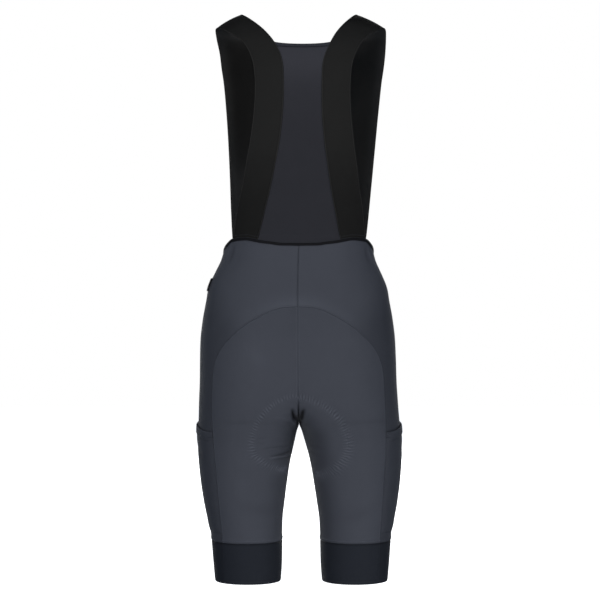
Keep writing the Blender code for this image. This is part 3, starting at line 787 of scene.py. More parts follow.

# %% [markdown]
# ## Cloth finishes
#
# A knit shows columns of small V-shaped loops: a wave across the wales, and a wave along the courses
# that a zigzag pushes up and down. The relief is a fraction of a millimetre, and the colour follows it as
# painted shade in its hollows. Seams get painted shade where the cloth dives in, and puckers a painted
# highlight, both from numbers that each mesh carries.

# %% Colours
COLOURS = {
    "seat": (66.5, 68.5, 75),
    "side": (58, 60, 66),
    "strap": (36, 35.5, 34.5),
    # The same elastic as the strap, painted lighter, so that the lining's painted light can reach its
    # brightness
    "strap_inside_painted_light": (46, 45.5, 44.5),
    "net": (43, 43, 47),
    "gripper": (34.5, 37, 42.5),
    "binding": (22, 22, 24),
    "neck": (50, 51, 56),
    "thread": (78, 81, 90),
    "dark_thread": (52, 54, 60),
}
WALE = 0.85
COURSE = 0.7
RIB = 1.25
NET_PITCH = 1.5
WEFT = 0.6
SHADE_RANGE = (0.2, 1.8)


def shaded(finish, colour, brightness):
    """A colour made lighter or darker by a number about 0: 0.4 is 40 percent lighter."""
    low, high = SHADE_RANGE
    share = (brightness * (1 / (high - low)) + 0.5).clamped()
    return finish.mixed(share, screen_colour(*colour, low), screen_colour(*colour, high))


def knit_relief(across, along):
    """Loops: a wave across the wales, and one along the courses that is bent into a V over each wale."""
    wale = (across * (TURN / WALE)).sine()
    zigzag = abs((across * (math.pi / WALE)).sine())
    course = ((along + zigzag * 0.4) * (TURN / COURSE)).sine()
    return wale * 0.05 + course * 0.04


def make_knit():
    """The grey-blue knit. Where the mesh says so it is the darker side knit. Its colour follows the knit's
    relief as painted shade in the hollows. Creases and seams get painted shade, crease ridges and the
    puckers along the pad get a painted highlight, and the mesh's tone adds painted light and shade."""
    finish = Finish("knit", 0.78, sheen=0.02, sheen_roughness=0.3)
    across, along = finish.cloth_place()
    relief = knit_relief(across, along)
    wave = (finish.field("phase") * (TURN / PUCKER_PITCH) + math.pi / 2).sine()
    pucker = finish.field("pucker") * wave
    # Painted light and shade: the relief's hollows, the puckers' highlight, the creases, the tone and the
    # seams' shade
    brightness = (
        finish.noise(45.0) * 0.06 + finish.noise(900.0, 3.0) * 0.08 + relief * 0.8
        + pucker * 0.28 + finish.field("pucker") * 0.15
        + finish.field("crease") + finish.field("tone") - finish.field("seam") * 0.25)
    light = shaded(finish, COLOURS["seat"], brightness)
    dark = shaded(finish, COLOURS["side"], brightness)
    colour = finish.mixed(finish.field("dark"), light, dark)
    relief = relief + finish.noise(2500.0) * 0.05 + pucker * 0.12
    finish.feed(colour, relief, 0.76 + finish.noise(300.0) * 0.12)
    return finish


def make_elastic(name, colour, tone):
    """The straps' woven elastic: fine ribs lengthwise, crossed by the finer beat of the weft, and pale
    woven edges. Its colour follows the ribs and the weft, as painted shade in their hollows. tone names
    the number of painted light and shade along its length."""
    finish = Finish(name, 0.85, specular=0.02)
    across, along = finish.cloth_place()
    ribs = (across * (TURN / RIB)).sine()
    weft = ((along + ribs * 0.15) * (TURN / WEFT)).sine()
    edge = finish.field("edge")
    brightness = (
        finish.noise(40.0) * 0.08 + ribs * 0.05 + weft * 0.03 + finish.field(tone)
        + (edge - 0.9).bell(0.8) * 0.45 - (edge - 2.6).bell(0.7) * 0.15)
    colour = shaded(finish, colour, brightness)
    finish.feed(colour, ribs * 0.06 + weft * 0.03, 0.84 + finish.noise(400.0) * 0.1)
    return finish


def make_net():
    """The back mesh: staggered small holes in a knitted ground. The product of two slanting waves is
    high at the holes, which are pressed in and painted dark, as the shade seen through them. Its edges,
    where it passes under the straps and bindings, get painted shade, and its tone paints it lighter
    towards the neck."""
    finish = Finish("back_net", 0.85, sheen=0.02)
    across, along = finish.cloth_place()
    one = ((across + along * 0.6) * (math.pi / NET_PITCH)).sine()
    two = ((across - along * 0.6) * (math.pi / NET_PITCH)).sine()
    holes = (one * one) * (two * two)
    edge = finish.field("edge")
    brightness = (
        0.1 - holes * 0.4 + finish.noise(30.0) * 0.08 - edge.bell(1.5) * 0.15 + finish.field("tone"))
    finish.feed(shaded(finish, COLOURS["net"], brightness), holes * -0.25, 0.84 + finish.noise(300.0) * 0.08)
    return finish


def make_band(name, colour, pitch, roughness):
    """Dense elastic: fine ribs upwards, whose hollows get painted shade, and darker where the mesh's tone
    says so: painted shade on the gripper's top and the neck band's edges, and a darker gripper side strip.
    """
    finish = Finish(name, roughness, sheen=0.01)
    across = finish.cloth_place()[0]
    ribs = (across * (TURN / pitch)).sine()
    brightness = finish.noise(60.0) * 0.08 + ribs * 0.05 + finish.field("tone")
    relief = ribs * 0.04 + finish.noise(1500.0) * 0.05
    finish.feed(shaded(finish, colour, brightness), relief, roughness + finish.noise(400.0) * 0.1)
    return finish


def make_thread(name, colour):
    """Twisted polyester thread: slanting light and dark turns, painted light and shade on its twist."""
    finish = Finish(name, 0.6, sheen=0.1)
    across, along = finish.cloth_place()
    twist = ((across * 3.0 + along * 2.0) * math.pi).sine()
    finish.feed(shaded(finish, colour, twist * 0.2), twist * 0.02)
    return finish


KNIT_CLOTH = make_knit()
STRAP_CLOTH = make_elastic("strap_elastic", COLOURS["strap"], "tone")
STRAP_LINING_PAINTED_LIGHT = make_elastic("strap_elastic_inside_painted_light", COLOURS["strap_inside_painted_light"], "inside")
NET_CLOTH = make_net()
GRIPPER_CLOTH = make_band("gripper_elastic", COLOURS["gripper"], 1.1, 0.68)
BINDING_CLOTH = make_band("binding_elastic", COLOURS["binding"], 0.9, 0.6)
NECK_CLOTH = make_band("neck_fold", COLOURS["neck"], 0.9, 0.8)
THREAD = make_thread("thread", COLOURS["thread"])
DARK_THREAD = make_thread("dark_thread", COLOURS["dark_thread"])
print("Finishes:", len(bpy.data.materials))

# %% [markdown]
# ## From a grid of points to a piece of cloth
#
# Every piece is a grid of points on its outside. A Solidify modifier gives it its thickness inwards, so
# the outside stays where it was put. The UV map is the length of cloth from the grid's first row and
# column, and each point keeps its distance from the seams for the material.


# %% Helpers for cloth
def grid_normal(points):
    """The direction square to a grid of points, from its steps along rows and columns."""
    return unit(np.cross(np.gradient(points, axis=0), np.gradient(points, axis=1)))


def from_edges(points, edges):
    """Each point's distance from the nearest of the named edges, measured over the grid."""
    across, up = lengths(points, 1), lengths(points, 0)
    gaps = {
        "first_column": across,
        "last_column": across[:, -1:] - across,
        "first_row": up,
        "last_row": up[-1:] - up,
    }
    return np.minimum.reduce([gaps[edge] for edge in edges] + [np.full(points.shape[:2], 99.0)])


def make_mesh(name, points, faces, corner_uv, finish):
    """A mesh object. The garment's lean is added, and millimetres above the hem become metres from the
    shoulders."""
    shift = column(LEAN, "shift", points[:, 2])
    places = (points + np.stack([shift, 0 * shift, 0 * shift - SHOULDER_HEIGHT], -1)) * MM
    mesh = bpy.data.meshes.new(name)
    mesh.from_pydata(places.tolist(), [], faces)
    layer = mesh.uv_layers.new(name="cloth")
    layer.data.foreach_set("uv", (corner_uv * MM).astype(np.float32).ravel())
    mesh.shade_smooth()
    mesh.materials.append(finish.material)
    made = bpy.data.objects.new(name, mesh)
    bpy.context.scene.collection.objects.link(made)
    return made


cloths = {}


def make_cloth(name, points, normals, finish, wall, ring=False, lining=None, **fields):
    """A piece from a grid of points. Cells become quads, turned so that they face as the normals do. On
    a ring the last column is the first one again. A lining is a second finish, for the inner face."""
    rows, columns = points.shape[:2]
    index = np.arange(rows * columns).reshape(rows, columns)
    cells = np.stack([index[:-1, :-1], index[:-1, 1:], index[1:, 1:], index[1:, :-1]], -1).reshape(-1, 4)
    if (grid_normal(points) * normals).sum() > 0:
        cells = cells[:, ::-1]
    kept = columns - 1 if ring else columns
    faces = (cells // columns) * kept + (cells % columns) % kept
    uv = np.stack([lengths(points, 1), lengths(points, 0)], -1).reshape(-1, 2)
    made = make_mesh(name, points[:, :kept].reshape(-1, 3), faces.tolist(), uv[cells.ravel()], finish)
    for field, values in fields.items():
        layer = made.data.attributes.new(field, "FLOAT", "POINT")
        layer.data.foreach_set("value", values[:, :kept].astype(np.float32).ravel())
    solidify = made.modifiers.new("wall", "SOLIDIFY")
    solidify.thickness = wall * MM
    solidify.offset = -1.0
    if lining:
        made.data.materials.append(lining.material)
        solidify.material_offset = 1
    cloths[name] = {"object": made, "points": points, "normals": normals}
    return made


ALL_EDGES = ("first_row", "last_row", "first_column", "last_column")
SEAM_TUCK = {"depth": 0.5, "width": 1.3}


def seam_share(surface, seams):
    """1 on a seam and falling off from it as a bell curve, times that seam's own strength. It sets the
    tuck, and the knit's painted shade along the seam.
    """
    pulls = [pull * bell(from_edges(surface, (edge,)), SEAM_TUCK["width"]) for edge, pull in seams.items()]
    return np.maximum.reduce(pulls)


def body_cloth(name, side, turns, heights, finish, wall, seams, lift=0.0, pad=False, dark=0.0, tone=0.0):
    """A piece on the form of the shorts, on the left (side 1) or the right (-1). Its points stand off
    the form by their lift, the creases, the pad's relief, and the tuck of the seams along its edges."""
    mirror = np.array([side, 1.0, 1.0])
    surface, normals = body_point(turns, heights), body_normal(turns, heights)
    shape = surface.shape[:2]
    flat, square = surface.reshape(-1, 3), normals.reshape(-1, 3)
    moved, crease = crease_depth(flat * mirror)
    rise, pucker, phase = np.zeros((3, len(flat)))
    if pad:
        rise, pucker, phase = pad_relief(flat, square, (turns + 0.0 * heights).ravel(), side)
    seam = seam_share(surface, seams)
    off = lift + (moved + rise).reshape(shape) - SEAM_TUCK["depth"] * seam
    points = (surface + normals * off[..., None]) * mirror
    flat_fields = {"pucker": pucker, "phase": phase, "crease": crease}
    fields = {key: values.reshape(shape) for key, values in flat_fields.items()}
    fields |= {"seam": seam, "dark": dark + 0.0 * seam, "tone": tone + 0.0 * seam}
    return make_cloth(name, points, normals * mirror, finish, wall, **fields)


print("Edges of a piece:", ALL_EDGES)

# %% [markdown]
# ## Seat and back-leg panels
#
# On the real garment each half of the seat and the back of its leg are one piece of stretch knit,
# between the centre seam, the inner leg, the side seam and the arch under the yoke. It could be a
# stretched cloth simulation, but filled stretch cloth is simply its form, so it is worked out directly.

# %% Seat panels
SEAT_ACROSS = shares((0.02, 5), (0.66, 104), (0.98, 26), (1, 5))
SEAT_SEAMS = {"last_column": 0.5, "last_row": 0.45, "first_row": 0.5}
# A seam's strength sets its tuck and its painted shade; the centre seam's grows towards the crotch
CENTRE_SEAM = {"plain": 0.1, "deeper": ((0.35, 385.0, 340.0), (0.45, 318.0, 290.0))}
# Painted shade on the right inner leg and painted light on the left, where the legs face each other
INNER_LEG = {"turns": (1.3, 0.2), "heights": (256.0, 236.0), "left": 0.1, "right": -0.12}
HEM_ROLL = {"height": 0.9, "above": 3.6, "width": 3.0}


def hem_roll(heights):
    """The knit swells out just above the tighter gripper, by a bell curve of the height."""
    return HEM_ROLL["height"] * bell(heights - GRIPPER_TOP - HEM_ROLL["above"], HEM_ROLL["width"])


for label, side in SIDES.items():
    top_turns, top_heights = arch_line(SEAT_ACROSS)
    heights = rows_up_to(top_heights[-1])
    turns, heights = leg_panel(side_turn(heights), heights, top_turns, top_heights, SEAT_ACROSS)
    centre = CENTRE_SEAM["plain"] + sum(
        pull * smooth_step(heights, start, end) for pull, start, end in CENTRE_SEAM["deeper"])
    inner = smooth_step(turns, *INNER_LEG["turns"]) * smooth_step(heights, *INNER_LEG["heights"])
    made = body_cloth(
        f"sewn_seat_panel_{label}", side, turns, heights, KNIT_CLOTH, KNIT,
        SEAT_SEAMS | {"first_column": centre}, lift=hem_roll(heights), pad=True,
        tone=INNER_LEG[label] * inner)
    print(made.name, "has", len(made.data.polygons), "cells")

# %% [markdown]
# ## Front panels
#
# The front is cut like the back, from the inner leg to a seam on the front of the hip, and up to the
# lower front waist. It is the same kind of panel, turned to the front half of the form.

# %% Front panels
FRONT_ACROSS = shares((0.02, 5), (0.6, 48), (0.98, 22), (1, 5))
FRONT_SEAMS = {"first_column": 0.6, "last_column": 0.5, "last_row": 0.4, "first_row": 0.5}

for label, side in SIDES.items():
    turns, heights = waist_stretch(TURN, math.radians(FRONT_SEAM_TURN), FRONT_ACROSS)
    turns, heights = leg_panel(*front_seam(), TURN - turns, heights, FRONT_ACROSS)
    made = body_cloth(
        f"sewn_front_panel_{label}", side, TURN - turns, heights, KNIT_CLOTH, KNIT, FRONT_SEAMS,
        lift=hem_roll(heights), pad=True)
    print(made.name, "has", len(made.data.polygons), "cells")

# %% [markdown]
# ## Yoke and side panels
#
# The yoke and the outer leg are one curved strip: it starts at the centre back, runs round the hip and
# turns down the side to the gripper. Its lower part is a darker knit. The change to it is soft round the
# hip, partly as painted shade where the yoke turns away from the light.

# %% Side panels
STRIP_ALONG = shares((0.02, 5), (1, 72))
STRIP_ACROSS = shares((0.03, 5), (0.97, 42), (1, 5))
SIDE_SEAMS = {"first_row": 0.9, "first_column": 0.4, "last_column": 0.5, "last_row": 0.5}
# Along the strip the seat knit's colour turns into the darker side knit's: partly a darker knit, partly
# painted shade round the hip
DARK_FROM = 0.62
DARK_TO = 1.0
POCKET_BED = {"width": 7.0, "bottom": (0.3, 4.0), "mouth": (2.0, 9.0)}
# Painted shadow on the side panel just above the pocket's mouth
MOUTH_SHADE = {"tone": -0.25, "width": 1.6}
# Painted highlight on the yoke along the arch, where it bulges, strongest near the centre back
YOKE_LIGHT = {"even": 0.08, "centre": 0.14, "reach": 48.0, "above": 17.0, "end": 1.35}


def mouth_line(share):
    """The height of the pocket's mouth, from the side seam (share 0) to the front one (1). It rises
    straight, but for a small ease upwards where it is caught in the side seam."""
    straight = between(POCKET_MOUTH["back"], POCKET_MOUTH["front"], share)
    return straight + MOUTH_EASE["rise"] * bell(share, MOUTH_EASE["reach"])


def mouth_height(turns, heights):
    """The height of the pocket's mouth at a turn."""
    edge = side_turn(np.clip(heights, 0.0, SIDE_SEAM["height"][-1]))
    share = np.clip((turns - edge) / (TURN - 2 * edge), 0.0, 1.0)
    return mouth_line(share)


def under_pocket(turns, heights, edge):
    """How far the panel is pressed in below the pocket's sewn edges, so that the pocket lies flush."""
    below = mouth_height(turns, heights) - heights
    over = heights - POCKET_BOTTOM
    sewn = bell(np.minimum(edge, np.abs(over)), POCKET_BED["width"])
    covered = smooth_step(over, *POCKET_BED["bottom"]) * smooth_step(below, *POCKET_BED["mouth"])
    return POCKET_WALL * covered * sewn


for label, side in SIDES.items():
    turns, heights = side_strip(STRIP_ALONG, STRIP_ACROSS)
    along = np.minimum(np.arange(len(turns)) / (len(STRIP_ALONG) - 1), 2.0)[:, None]
    dark = smooth_step(along, DARK_FROM, DARK_TO) + 0.0 * turns
    surface = body_point(turns, heights)
    edge = from_edges(surface, ("first_column", "last_column"))
    above = np.where(along > 1.0, heights - mouth_height(turns, heights), 99.0)
    # Painted highlight over the yoke along the arch, and painted shadow above the pocket's mouth
    glow = YOKE_LIGHT["even"] + YOKE_LIGHT["centre"] * bell(surface[..., 0], YOKE_LIGHT["reach"])
    fade = np.clip(YOKE_LIGHT["end"] - along, 0.0, 1.0)
    tone = MOUTH_SHADE["tone"] * bell(above, MOUTH_SHADE["width"])
    tone = tone + glow * fade * bell(lengths(surface, 1), YOKE_LIGHT["above"])
    made = body_cloth(
        f"sewn_side_panel_{label}", side, turns, heights, KNIT_CLOTH, KNIT, SIDE_SEAMS,
        lift=hem_roll(heights) - under_pocket(turns, heights, edge), dark=dark, tone=tone)
    print(made.name, "has", len(made.data.polygons), "cells")

# %% [markdown]
# ## Leg grippers
#
# A wide elastic band holds each leg down. It is joined at the side seam from a long band round the
# inner leg and a short one on the outer leg. It stands slightly proud of the knit, and its edges are
# rounded, because a thick band can't end in a sharp corner.

# %% Gripper bands
GRIPPER_ROWS = shares((0.03, 4), (0.97, 22), (1, 4))
GRIPPER_AROUND = 2 * shares((0.01, 4), (0.99, 180), (1, 4)) - 1
GRIPPER_STRIP = shares((0.04, 4), (0.96, 50), (1, 4))
GRIPPER_SEAMS = {"first_column": 0.5, "last_column": 0.5}
BAND_EDGE = {"depth": 0.7, "width": 1.2}
# Painted shadow along the gripper's top, where the knit meets it, and a darker side strip
GRIPPER_SHADE = {"top": -0.4, "width": 2.2, "gripper": 0.0, "gripper_side": -0.15}

for label, side in SIDES.items():
    heights = (GRIPPER_TOP * GRIPPER_ROWS)[:, None]
    edge = side_turn(heights)
    stretches = {
        "gripper": edge * GRIPPER_AROUND,
        "gripper_side": between(edge, TURN - edge, GRIPPER_STRIP),
    }
    for piece, turns in stretches.items():
        tall = heights + 0.0 * turns
        rim = from_edges(body_point(turns, tall), ("first_row", "last_row"))
        lift = GRIPPER_LIFT - BAND_EDGE["depth"] * bell(rim, BAND_EDGE["width"])
        tone = GRIPPER_SHADE["top"] * bell(GRIPPER_TOP - tall, GRIPPER_SHADE["width"]) + GRIPPER_SHADE[piece]
        body_cloth(
            f"sewn_{piece}_{label}", side, turns, tall, GRIPPER_CLOTH, GRIPPER_WALL, GRIPPER_SEAMS,
            lift=lift, tone=tone)
print("Gripper:", GRIPPER_TOP, "mm high")

# %% [markdown]
# ## Cargo pockets
#
# A patch of the darker knit lies on each outer leg, sewn in at both seams and at the bottom. Its mouth
# slants up towards the front and is held by a folded, twice-stitched hem, which stands a little proud.

# %% Pockets
POCKET_ROWS = shares((0.04, 5), (1, 74))
HEM_ROWS = shares((1, 16))
FOLD_ROWS = np.linspace(0.0, math.pi, 9)[1:]
INSIDE_ROWS = shares((1, 5))[1:]
POCKET_ACROSS = shares((0.04, 5), (0.96, 52), (1, 5))
POCKET_SEAMS = {"first_row": 0.3, "first_column": 0.2, "last_column": 0.4}
POCKET_FLUSH = {"share": 0.8, "width": 6.0}
POCKET_GAPE = {"out": 0.3, "reach": 60.0}
FOLD = {"radius": 1.4, "least": 0.1, "gap": 0.3, "inside": 9.0, "free": 12.0, "sewn": 0.2}
# Painted highlight on the hem's folded lip, and painted shade along the hem's lower edge
LIP_HIGHLIGHT = {"tone": 0.2, "width": 2.0}
HEM_SHADE = {"tone": 0.1, "width": 1.5}
HEM_SWELL = named("share swell", (
    (0, 0), (0.15, 0.8), (0.5, 1), (1, 1),
))

for label, side in SIDES.items():
    mouth = mouth_line(POCKET_ACROSS)
    rise = POCKET_ROWS[:-1, None]
    plain = between(POCKET_BOTTOM, mouth - POCKET_HEM, rise)
    edge = side_turn(mouth)
    crest = lengths(body_point(between(edge, TURN - edge, POCKET_ACROSS), mouth), 0)
    free = 1 - bell(np.minimum(crest, crest[-1] - crest), FOLD["free"])
    full = POCKET_LIFT + POCKET_WALL + (POCKET_HEM_SWELL + POCKET_GAPE["out"]) * free
    depth = full * (FOLD["sewn"] + (1 - FOLD["sewn"]) * free) - FOLD["gap"]
    radius = np.clip(depth / 2, FOLD["least"], FOLD["radius"])
    hem = mouth - POCKET_HEM + (POCKET_HEM - radius) * HEM_ROWS[:, None]
    fold = mouth - radius + radius * np.sin(FOLD_ROWS[:, None])
    inside = mouth - radius - FOLD["inside"] * INSIDE_ROWS[:, None]
    heights = np.concatenate([plain, hem, fold, inside])
    edge = side_turn(heights)
    turns = between(edge, TURN - edge, POCKET_ACROSS)
    sewn = from_edges(body_point(turns, heights), ("first_row", "first_column", "last_column"))
    below = mouth - heights
    swell = np.zeros(heights.shape)
    hem_share = np.clip((POCKET_HEM - below[len(plain):]) / POCKET_HEM, 0.0, 1.0)
    swell[len(plain):] = POCKET_HEM_SWELL * column(HEM_SWELL, "swell", hem_share)
    gape = POCKET_GAPE["out"] * bell(below, POCKET_GAPE["reach"])
    flush = 1 - POCKET_FLUSH["share"] * bell(sewn, POCKET_FLUSH["width"])
    lift = (POCKET_LIFT + POCKET_WALL) * flush + (swell + gape) * free
    flat = np.zeros(len(plain) + len(hem))
    bend = np.concatenate([flat, FOLD_ROWS, math.pi + 0 * INSIDE_ROWS])[:, None]
    lift = lift - radius * (1 - np.cos(bend))
    # Painted highlight on the lip of the fold, and painted shade below the hem
    tone = LIP_HIGHLIGHT["tone"] * np.cos(bend / 2) * bell(below, LIP_HIGHLIGHT["width"])
    tone = tone - HEM_SHADE["tone"] * free * bell(below - POCKET_HEM, HEM_SHADE["width"])
    made = body_cloth(
        f"sewn_cargo_pocket_{label}", side, turns, heights, KNIT_CLOTH, POCKET_WALL, POCKET_SEAMS,
        lift=lift, dark=1.0, tone=tone)
    print(made.name, "mouth from", POCKET_MOUTH["back"], "to", POCKET_MOUTH["front"], "mm")

# %% [markdown]
# ## Waist binding
#
# A thin black elastic closes the top edge of the shorts. It is a ring whose outside is slightly round.

# %% Waist
WAIST_ROWS = shares((1, 8))
WAIST_WALL = 1.8
WAIST_LIFT = 0.3
WAIST_OVERLAP = 1.0
WAIST_ROUND = 0.5
WAIST_AT_HIP = {"turn": 157.0, "reach": 16.0, "overlap": 2.0, "out": 0.7}
BIB_TUCK = {"down": 2.4, "in": 0.5}

turns, heights = waist_stretch(0.0, TURN, shares((1, 260)))
at_hip = bell(np.degrees(turns) - WAIST_AT_HIP["turn"], WAIST_AT_HIP["reach"])
low = (WAIST_OVERLAP + WAIST_AT_HIP["overlap"] * at_hip) * (1 - WAIST_ROWS)[:, None]
heights = heights + WAIST_BAND * WAIST_ROWS[:, None] - low
turns = turns + 0.0 * heights
round_out = WAIST_ROUND * (1 - (2 * WAIST_ROWS - 1) ** 2)[:, None] + WAIST_AT_HIP["out"] * at_hip
normals = body_normal(turns, heights)
points = body_point(turns, heights) + (WAIST_LIFT + round_out)[..., None] * normals
points[:, (0, -1), 0] = 0.0
ring, ring_normals = (
    np.concatenate([half, half[:, -2::-1] * MIRRORS["right"]], axis=1) for half in (points, normals))
make_cloth(
    "sewn_waist_binding", ring, ring_normals, BINDING_CLOTH, WAIST_WALL, ring=True, tone=0.0 * ring[..., 0])
print("Waist:", round(float(lengths(ring[:1], 1)[0, -1])), "mm round")


def on_waist(x, back):
    """A point just inside the waist binding, x from the centre plane, on the back or on the front. The
    straps and the mesh start there, so that no daylight shows between them and the binding."""
    turns, heights = waist_stretch(0.0, TURN, shares((1, 400)))
    heights = heights + WAIST_BAND - BIB_TUCK["down"]
    edge = body_point(turns, heights) - BIB_TUCK["in"] * body_normal(turns, heights)
    widest = int(np.argmax(edge[:, 0]))
    half = edge[:widest + 1] if back else edge[:widest - 1:-1]
    return np.stack([x, np.interp(x, half[:, 0], half[:, 1]), np.interp(x, half[:, 0], half[:, 2])], -1)


# %% [markdown]
# ## Shoulder straps
#
# One wide elastic on each side runs from the back waist over the shoulder to the front waist. It lies
# flat on the body all the way, so it is a ribbon between two edges that follow stations in space. It is
# slightly crowned across, and its woven selvedges stand up as thin beads.


# %% Strap surface
def torso_depth(side, x, height):
    """How far the upper body reaches back or forward at x: flat to its middle, then round."""
    half, middle = column(TORSO, "half_width", height), column(TORSO, "middle", height)
    beyond = np.maximum(x - middle, 0.0) / (half - middle)
    return column(TORSO, side, height) * np.sqrt(1 - beyond ** 2)


def strap_stations():
    """Rows of (inner edge, outer edge), three numbers each, from the back waist to the front waist."""
    def on_torso(table, side, sign):
        """Stations that lie on the upper body, from a table of their heights and both edges' x."""
        heights = table["height"]
        edges = []
        for x in (table["inner_x"], table["outer_x"]):
            edges.append(np.stack([x, sign * torso_depth(side, x, heights), heights], -1))
        return np.concatenate(edges, axis=1)

    shoulder = np.stack(list(STRAP_SHOULDER.values()), -1)
    back, front = on_torso(STRAP_BACK, "back", 1.0), on_torso(STRAP_FRONT, "front", -1.0)
    back[0] = on_waist(back[0, [0, 3]], True).reshape(-1)
    front[-1] = on_waist(front[-1, [0, 3]], False).reshape(-1)
    return np.concatenate([back, shoulder, front])


STRAP_FOLLOWS = 6.0
STRAP_ROWS = {"back": 120, "shoulder": 70, "front": 90}
STRAP_ACROSS = shares((0.06, 5), (0.94, 18), (1, 5))
SELVEDGE = {"height": 0.35, "place": 0.9, "width": 0.8}
# Painted shade on the strap: darker low on the body and on the shoulder's crest
STRAP_TONE = named("height tone", (
    (480, -0.32), (600, -0.3), (650, -0.2), (710, -0.07), (850, -0.07), (885, -0.22), (905, -0.4),
))
# Painted light and shade on the lining, the inner faces seen through the arm openings: darker on the back,
# lighter or darker on the front, unlike left and right, with painted light along the outer edge
STRAP_BACK_INSIDE = -0.37
STRAP_FRONT_INSIDE = named("height left right", (
    (480, 0.6, 0.7), (635, 0.6, 0.3), (682, -0.12, 0.1), (729, -0.4, 0.05), (775, -0.5, 0.1),
    (850, -0.45, 0.1), (866, -0.25, 0.1), (877, 0.5, 0.8), (905, 0.5, 0.8),
))
STRAP_OUTER_INSIDE = {"gain": 0.75, "reach": 13.0, "rest": -0.15}
# More painted shade over the crest, where light from above catches it
STRAP_CREST = {"left": -0.2, "right": -0.52, "centre": 20.0, "reach": 28.0, "above": (840.0, 865.0)}
STRAP_TURNS_FRONT = (20.0, -20.0)


def strap_surface():
    """The strap's outside without its beads, and the directions out of it. A row lies exactly at the
    neck's upper edge. At its ends the strap follows the waist."""
    stations = strap_stations()
    neck = len(STRAP_BACK["height"])
    crest_end = neck + len(STRAP_SHOULDER["inner_x"]) - 1
    rows = smooth_path(stations, (
        (0, neck, STRAP_ROWS["back"]),
        (neck, crest_end, STRAP_ROWS["shoulder"]),
        (crest_end, len(stations) - 1, STRAP_ROWS["front"]),
    ))
    across = STRAP_ACROSS[None, :, None]
    flat = between(rows[:, None, :3], rows[:, None, 3:], across)
    points = flat + STRAP_CROWN * 4 * across * (1 - across) * grid_normal(flat)
    for row, back in ((0, True), (-1, False)):
        edge = on_waist(flat[row, :, 0], back)
        away = lengths(points, 0) if back else lengths(points[::-1], 0)[::-1]
        points = points + (edge - points[row]) * bell(away, STRAP_FOLLOWS)[..., None]
    return points, grid_normal(points)


strap_points, strap_normals = strap_surface()
edge = from_edges(strap_points, ("first_column", "last_column"))
bead = SELVEDGE["height"] * bell(edge - SELVEDGE["place"], SELVEDGE["width"])
beaded = strap_points + bead[..., None] * strap_normals
front = smooth_step(beaded[..., 1], *STRAP_TURNS_FRONT)
outer = bell(from_edges(strap_points, ("last_column",)), STRAP_OUTER_INSIDE["reach"])
outer = STRAP_OUTER_INSIDE["gain"] * outer + STRAP_OUTER_INSIDE["rest"]
crest = bell(beaded[..., 1] - STRAP_CREST["centre"], STRAP_CREST["reach"])
crest = crest * smooth_step(beaded[..., 2], *STRAP_CREST["above"])
tone = column(STRAP_TONE, "tone", beaded[..., 2])
for label, mirror in MIRRORS.items():
    # The lining's painted light and shade
    lit = column(STRAP_FRONT_INSIDE, label, beaded[..., 2]) + outer
    inside = between(STRAP_BACK_INSIDE, lit, front)
    make_cloth(
        f"sewn_strap_{label}", beaded * mirror, strap_normals * mirror, STRAP_CLOTH, STRAP_WALL,
        lining=STRAP_LINING_PAINTED_LIGHT, edge=edge, inside=inside, tone=tone + STRAP_CREST[label] * crest)
print("Strap:", round(float(lengths(strap_points, 0)[-1].mean())), "mm long")

# %% [markdown]
# ## Back mesh and neck binding
#
# An airy net spans the back between the straps, from the waist to the neck, and pulls in to an
# hourglass because the straps do. Its rows run from one strap's inner edge to the other's and are
# fullest over the spine. Its upper edge is a folded black binding.

# %% Mesh
NET_ACROSS = 2 * shares((0.02, 3), (0.98, 60), (1, 3)) - 1


def net_rows(edge, edge_normals):
    """Rows from one strap's inner edge across the back to the other's. The rows sag a little towards
    the neck. At both edges the directions out of it are those of the straps."""
    x = edge[:, :1] * NET_ACROSS
    height = edge[:, 2:] + 0.0 * NET_ACROSS
    fullness = torso_depth("back", 0.0, height) - torso_depth("back", np.abs(edge[:, :1]), height)
    dip = NECK_DIP * np.clip((height - NECK_DIP_ABOVE) / (NECK_HEIGHT - NECK_DIP_ABOVE), 0.0, 1.0)
    y = edge[:, 1:2] + fullness * (1 - NET_ACROSS ** 2)
    points = np.stack([x, y, height - dip * (1 - NET_ACROSS ** 2)], -1)
    normals = grid_normal(points)
    normals = normals * np.sign(normals[..., 1:2])
    normals[:, -1] = edge_normals
    normals[:, 0] = edge_normals * MIRRORS["right"]
    return points, normals


NET_TUCK = {"column": 4, "in": 1.2}
NET_FOLLOWS = 6.0
# Painted light on the mesh, growing towards the neck
NET_TONE = named("height tone", (
    (480, 0), (700, 0.04), (770, 0.16), (835, 0.62), (905, 0.62),
))
neck_row = STRAP_ROWS["back"]
net_edge_normals = strap_normals[:neck_row + 1, NET_TUCK["column"]]
net_edge = strap_points[:neck_row + 1, NET_TUCK["column"]] - NET_TUCK["in"] * net_edge_normals
below = net_edge[:, 2] < NECK_HEIGHT - NECK_BAND
top = read_points(NECK_HEIGHT - NECK_BAND, net_edge[:, 2], net_edge)
low_edge = np.concatenate([net_edge[below], top[None]])
low_normals = net_edge_normals[:len(low_edge)]
points, normals = net_rows(low_edge, low_normals)
waist = on_waist(np.abs(points[0, :, 0]), True) * np.stack(
    [np.sign(points[0, :, 0]), np.ones(len(NET_ACROSS)), np.ones(len(NET_ACROSS))], -1)
points = points + (waist - points[0]) * bell(lengths(points, 0), NET_FOLLOWS)[..., None]
edge = from_edges(points, ALL_EDGES)
tone = column(NET_TONE, "tone", points[..., 2])
make_cloth("sewn_back_mesh", points, normals, NET_CLOTH, NET_WALL, edge=edge, tone=tone)
print("Mesh:", round(float(lengths(points, 0)[-1].mean())), "mm high")

# %% Neck binding: a folded band, round at its upper edge
NECK_ROWS = shares((1, 14))
NECK_LIFT = 0.5
NECK_ROUND = 0.45
NECK_WALL = 2.2
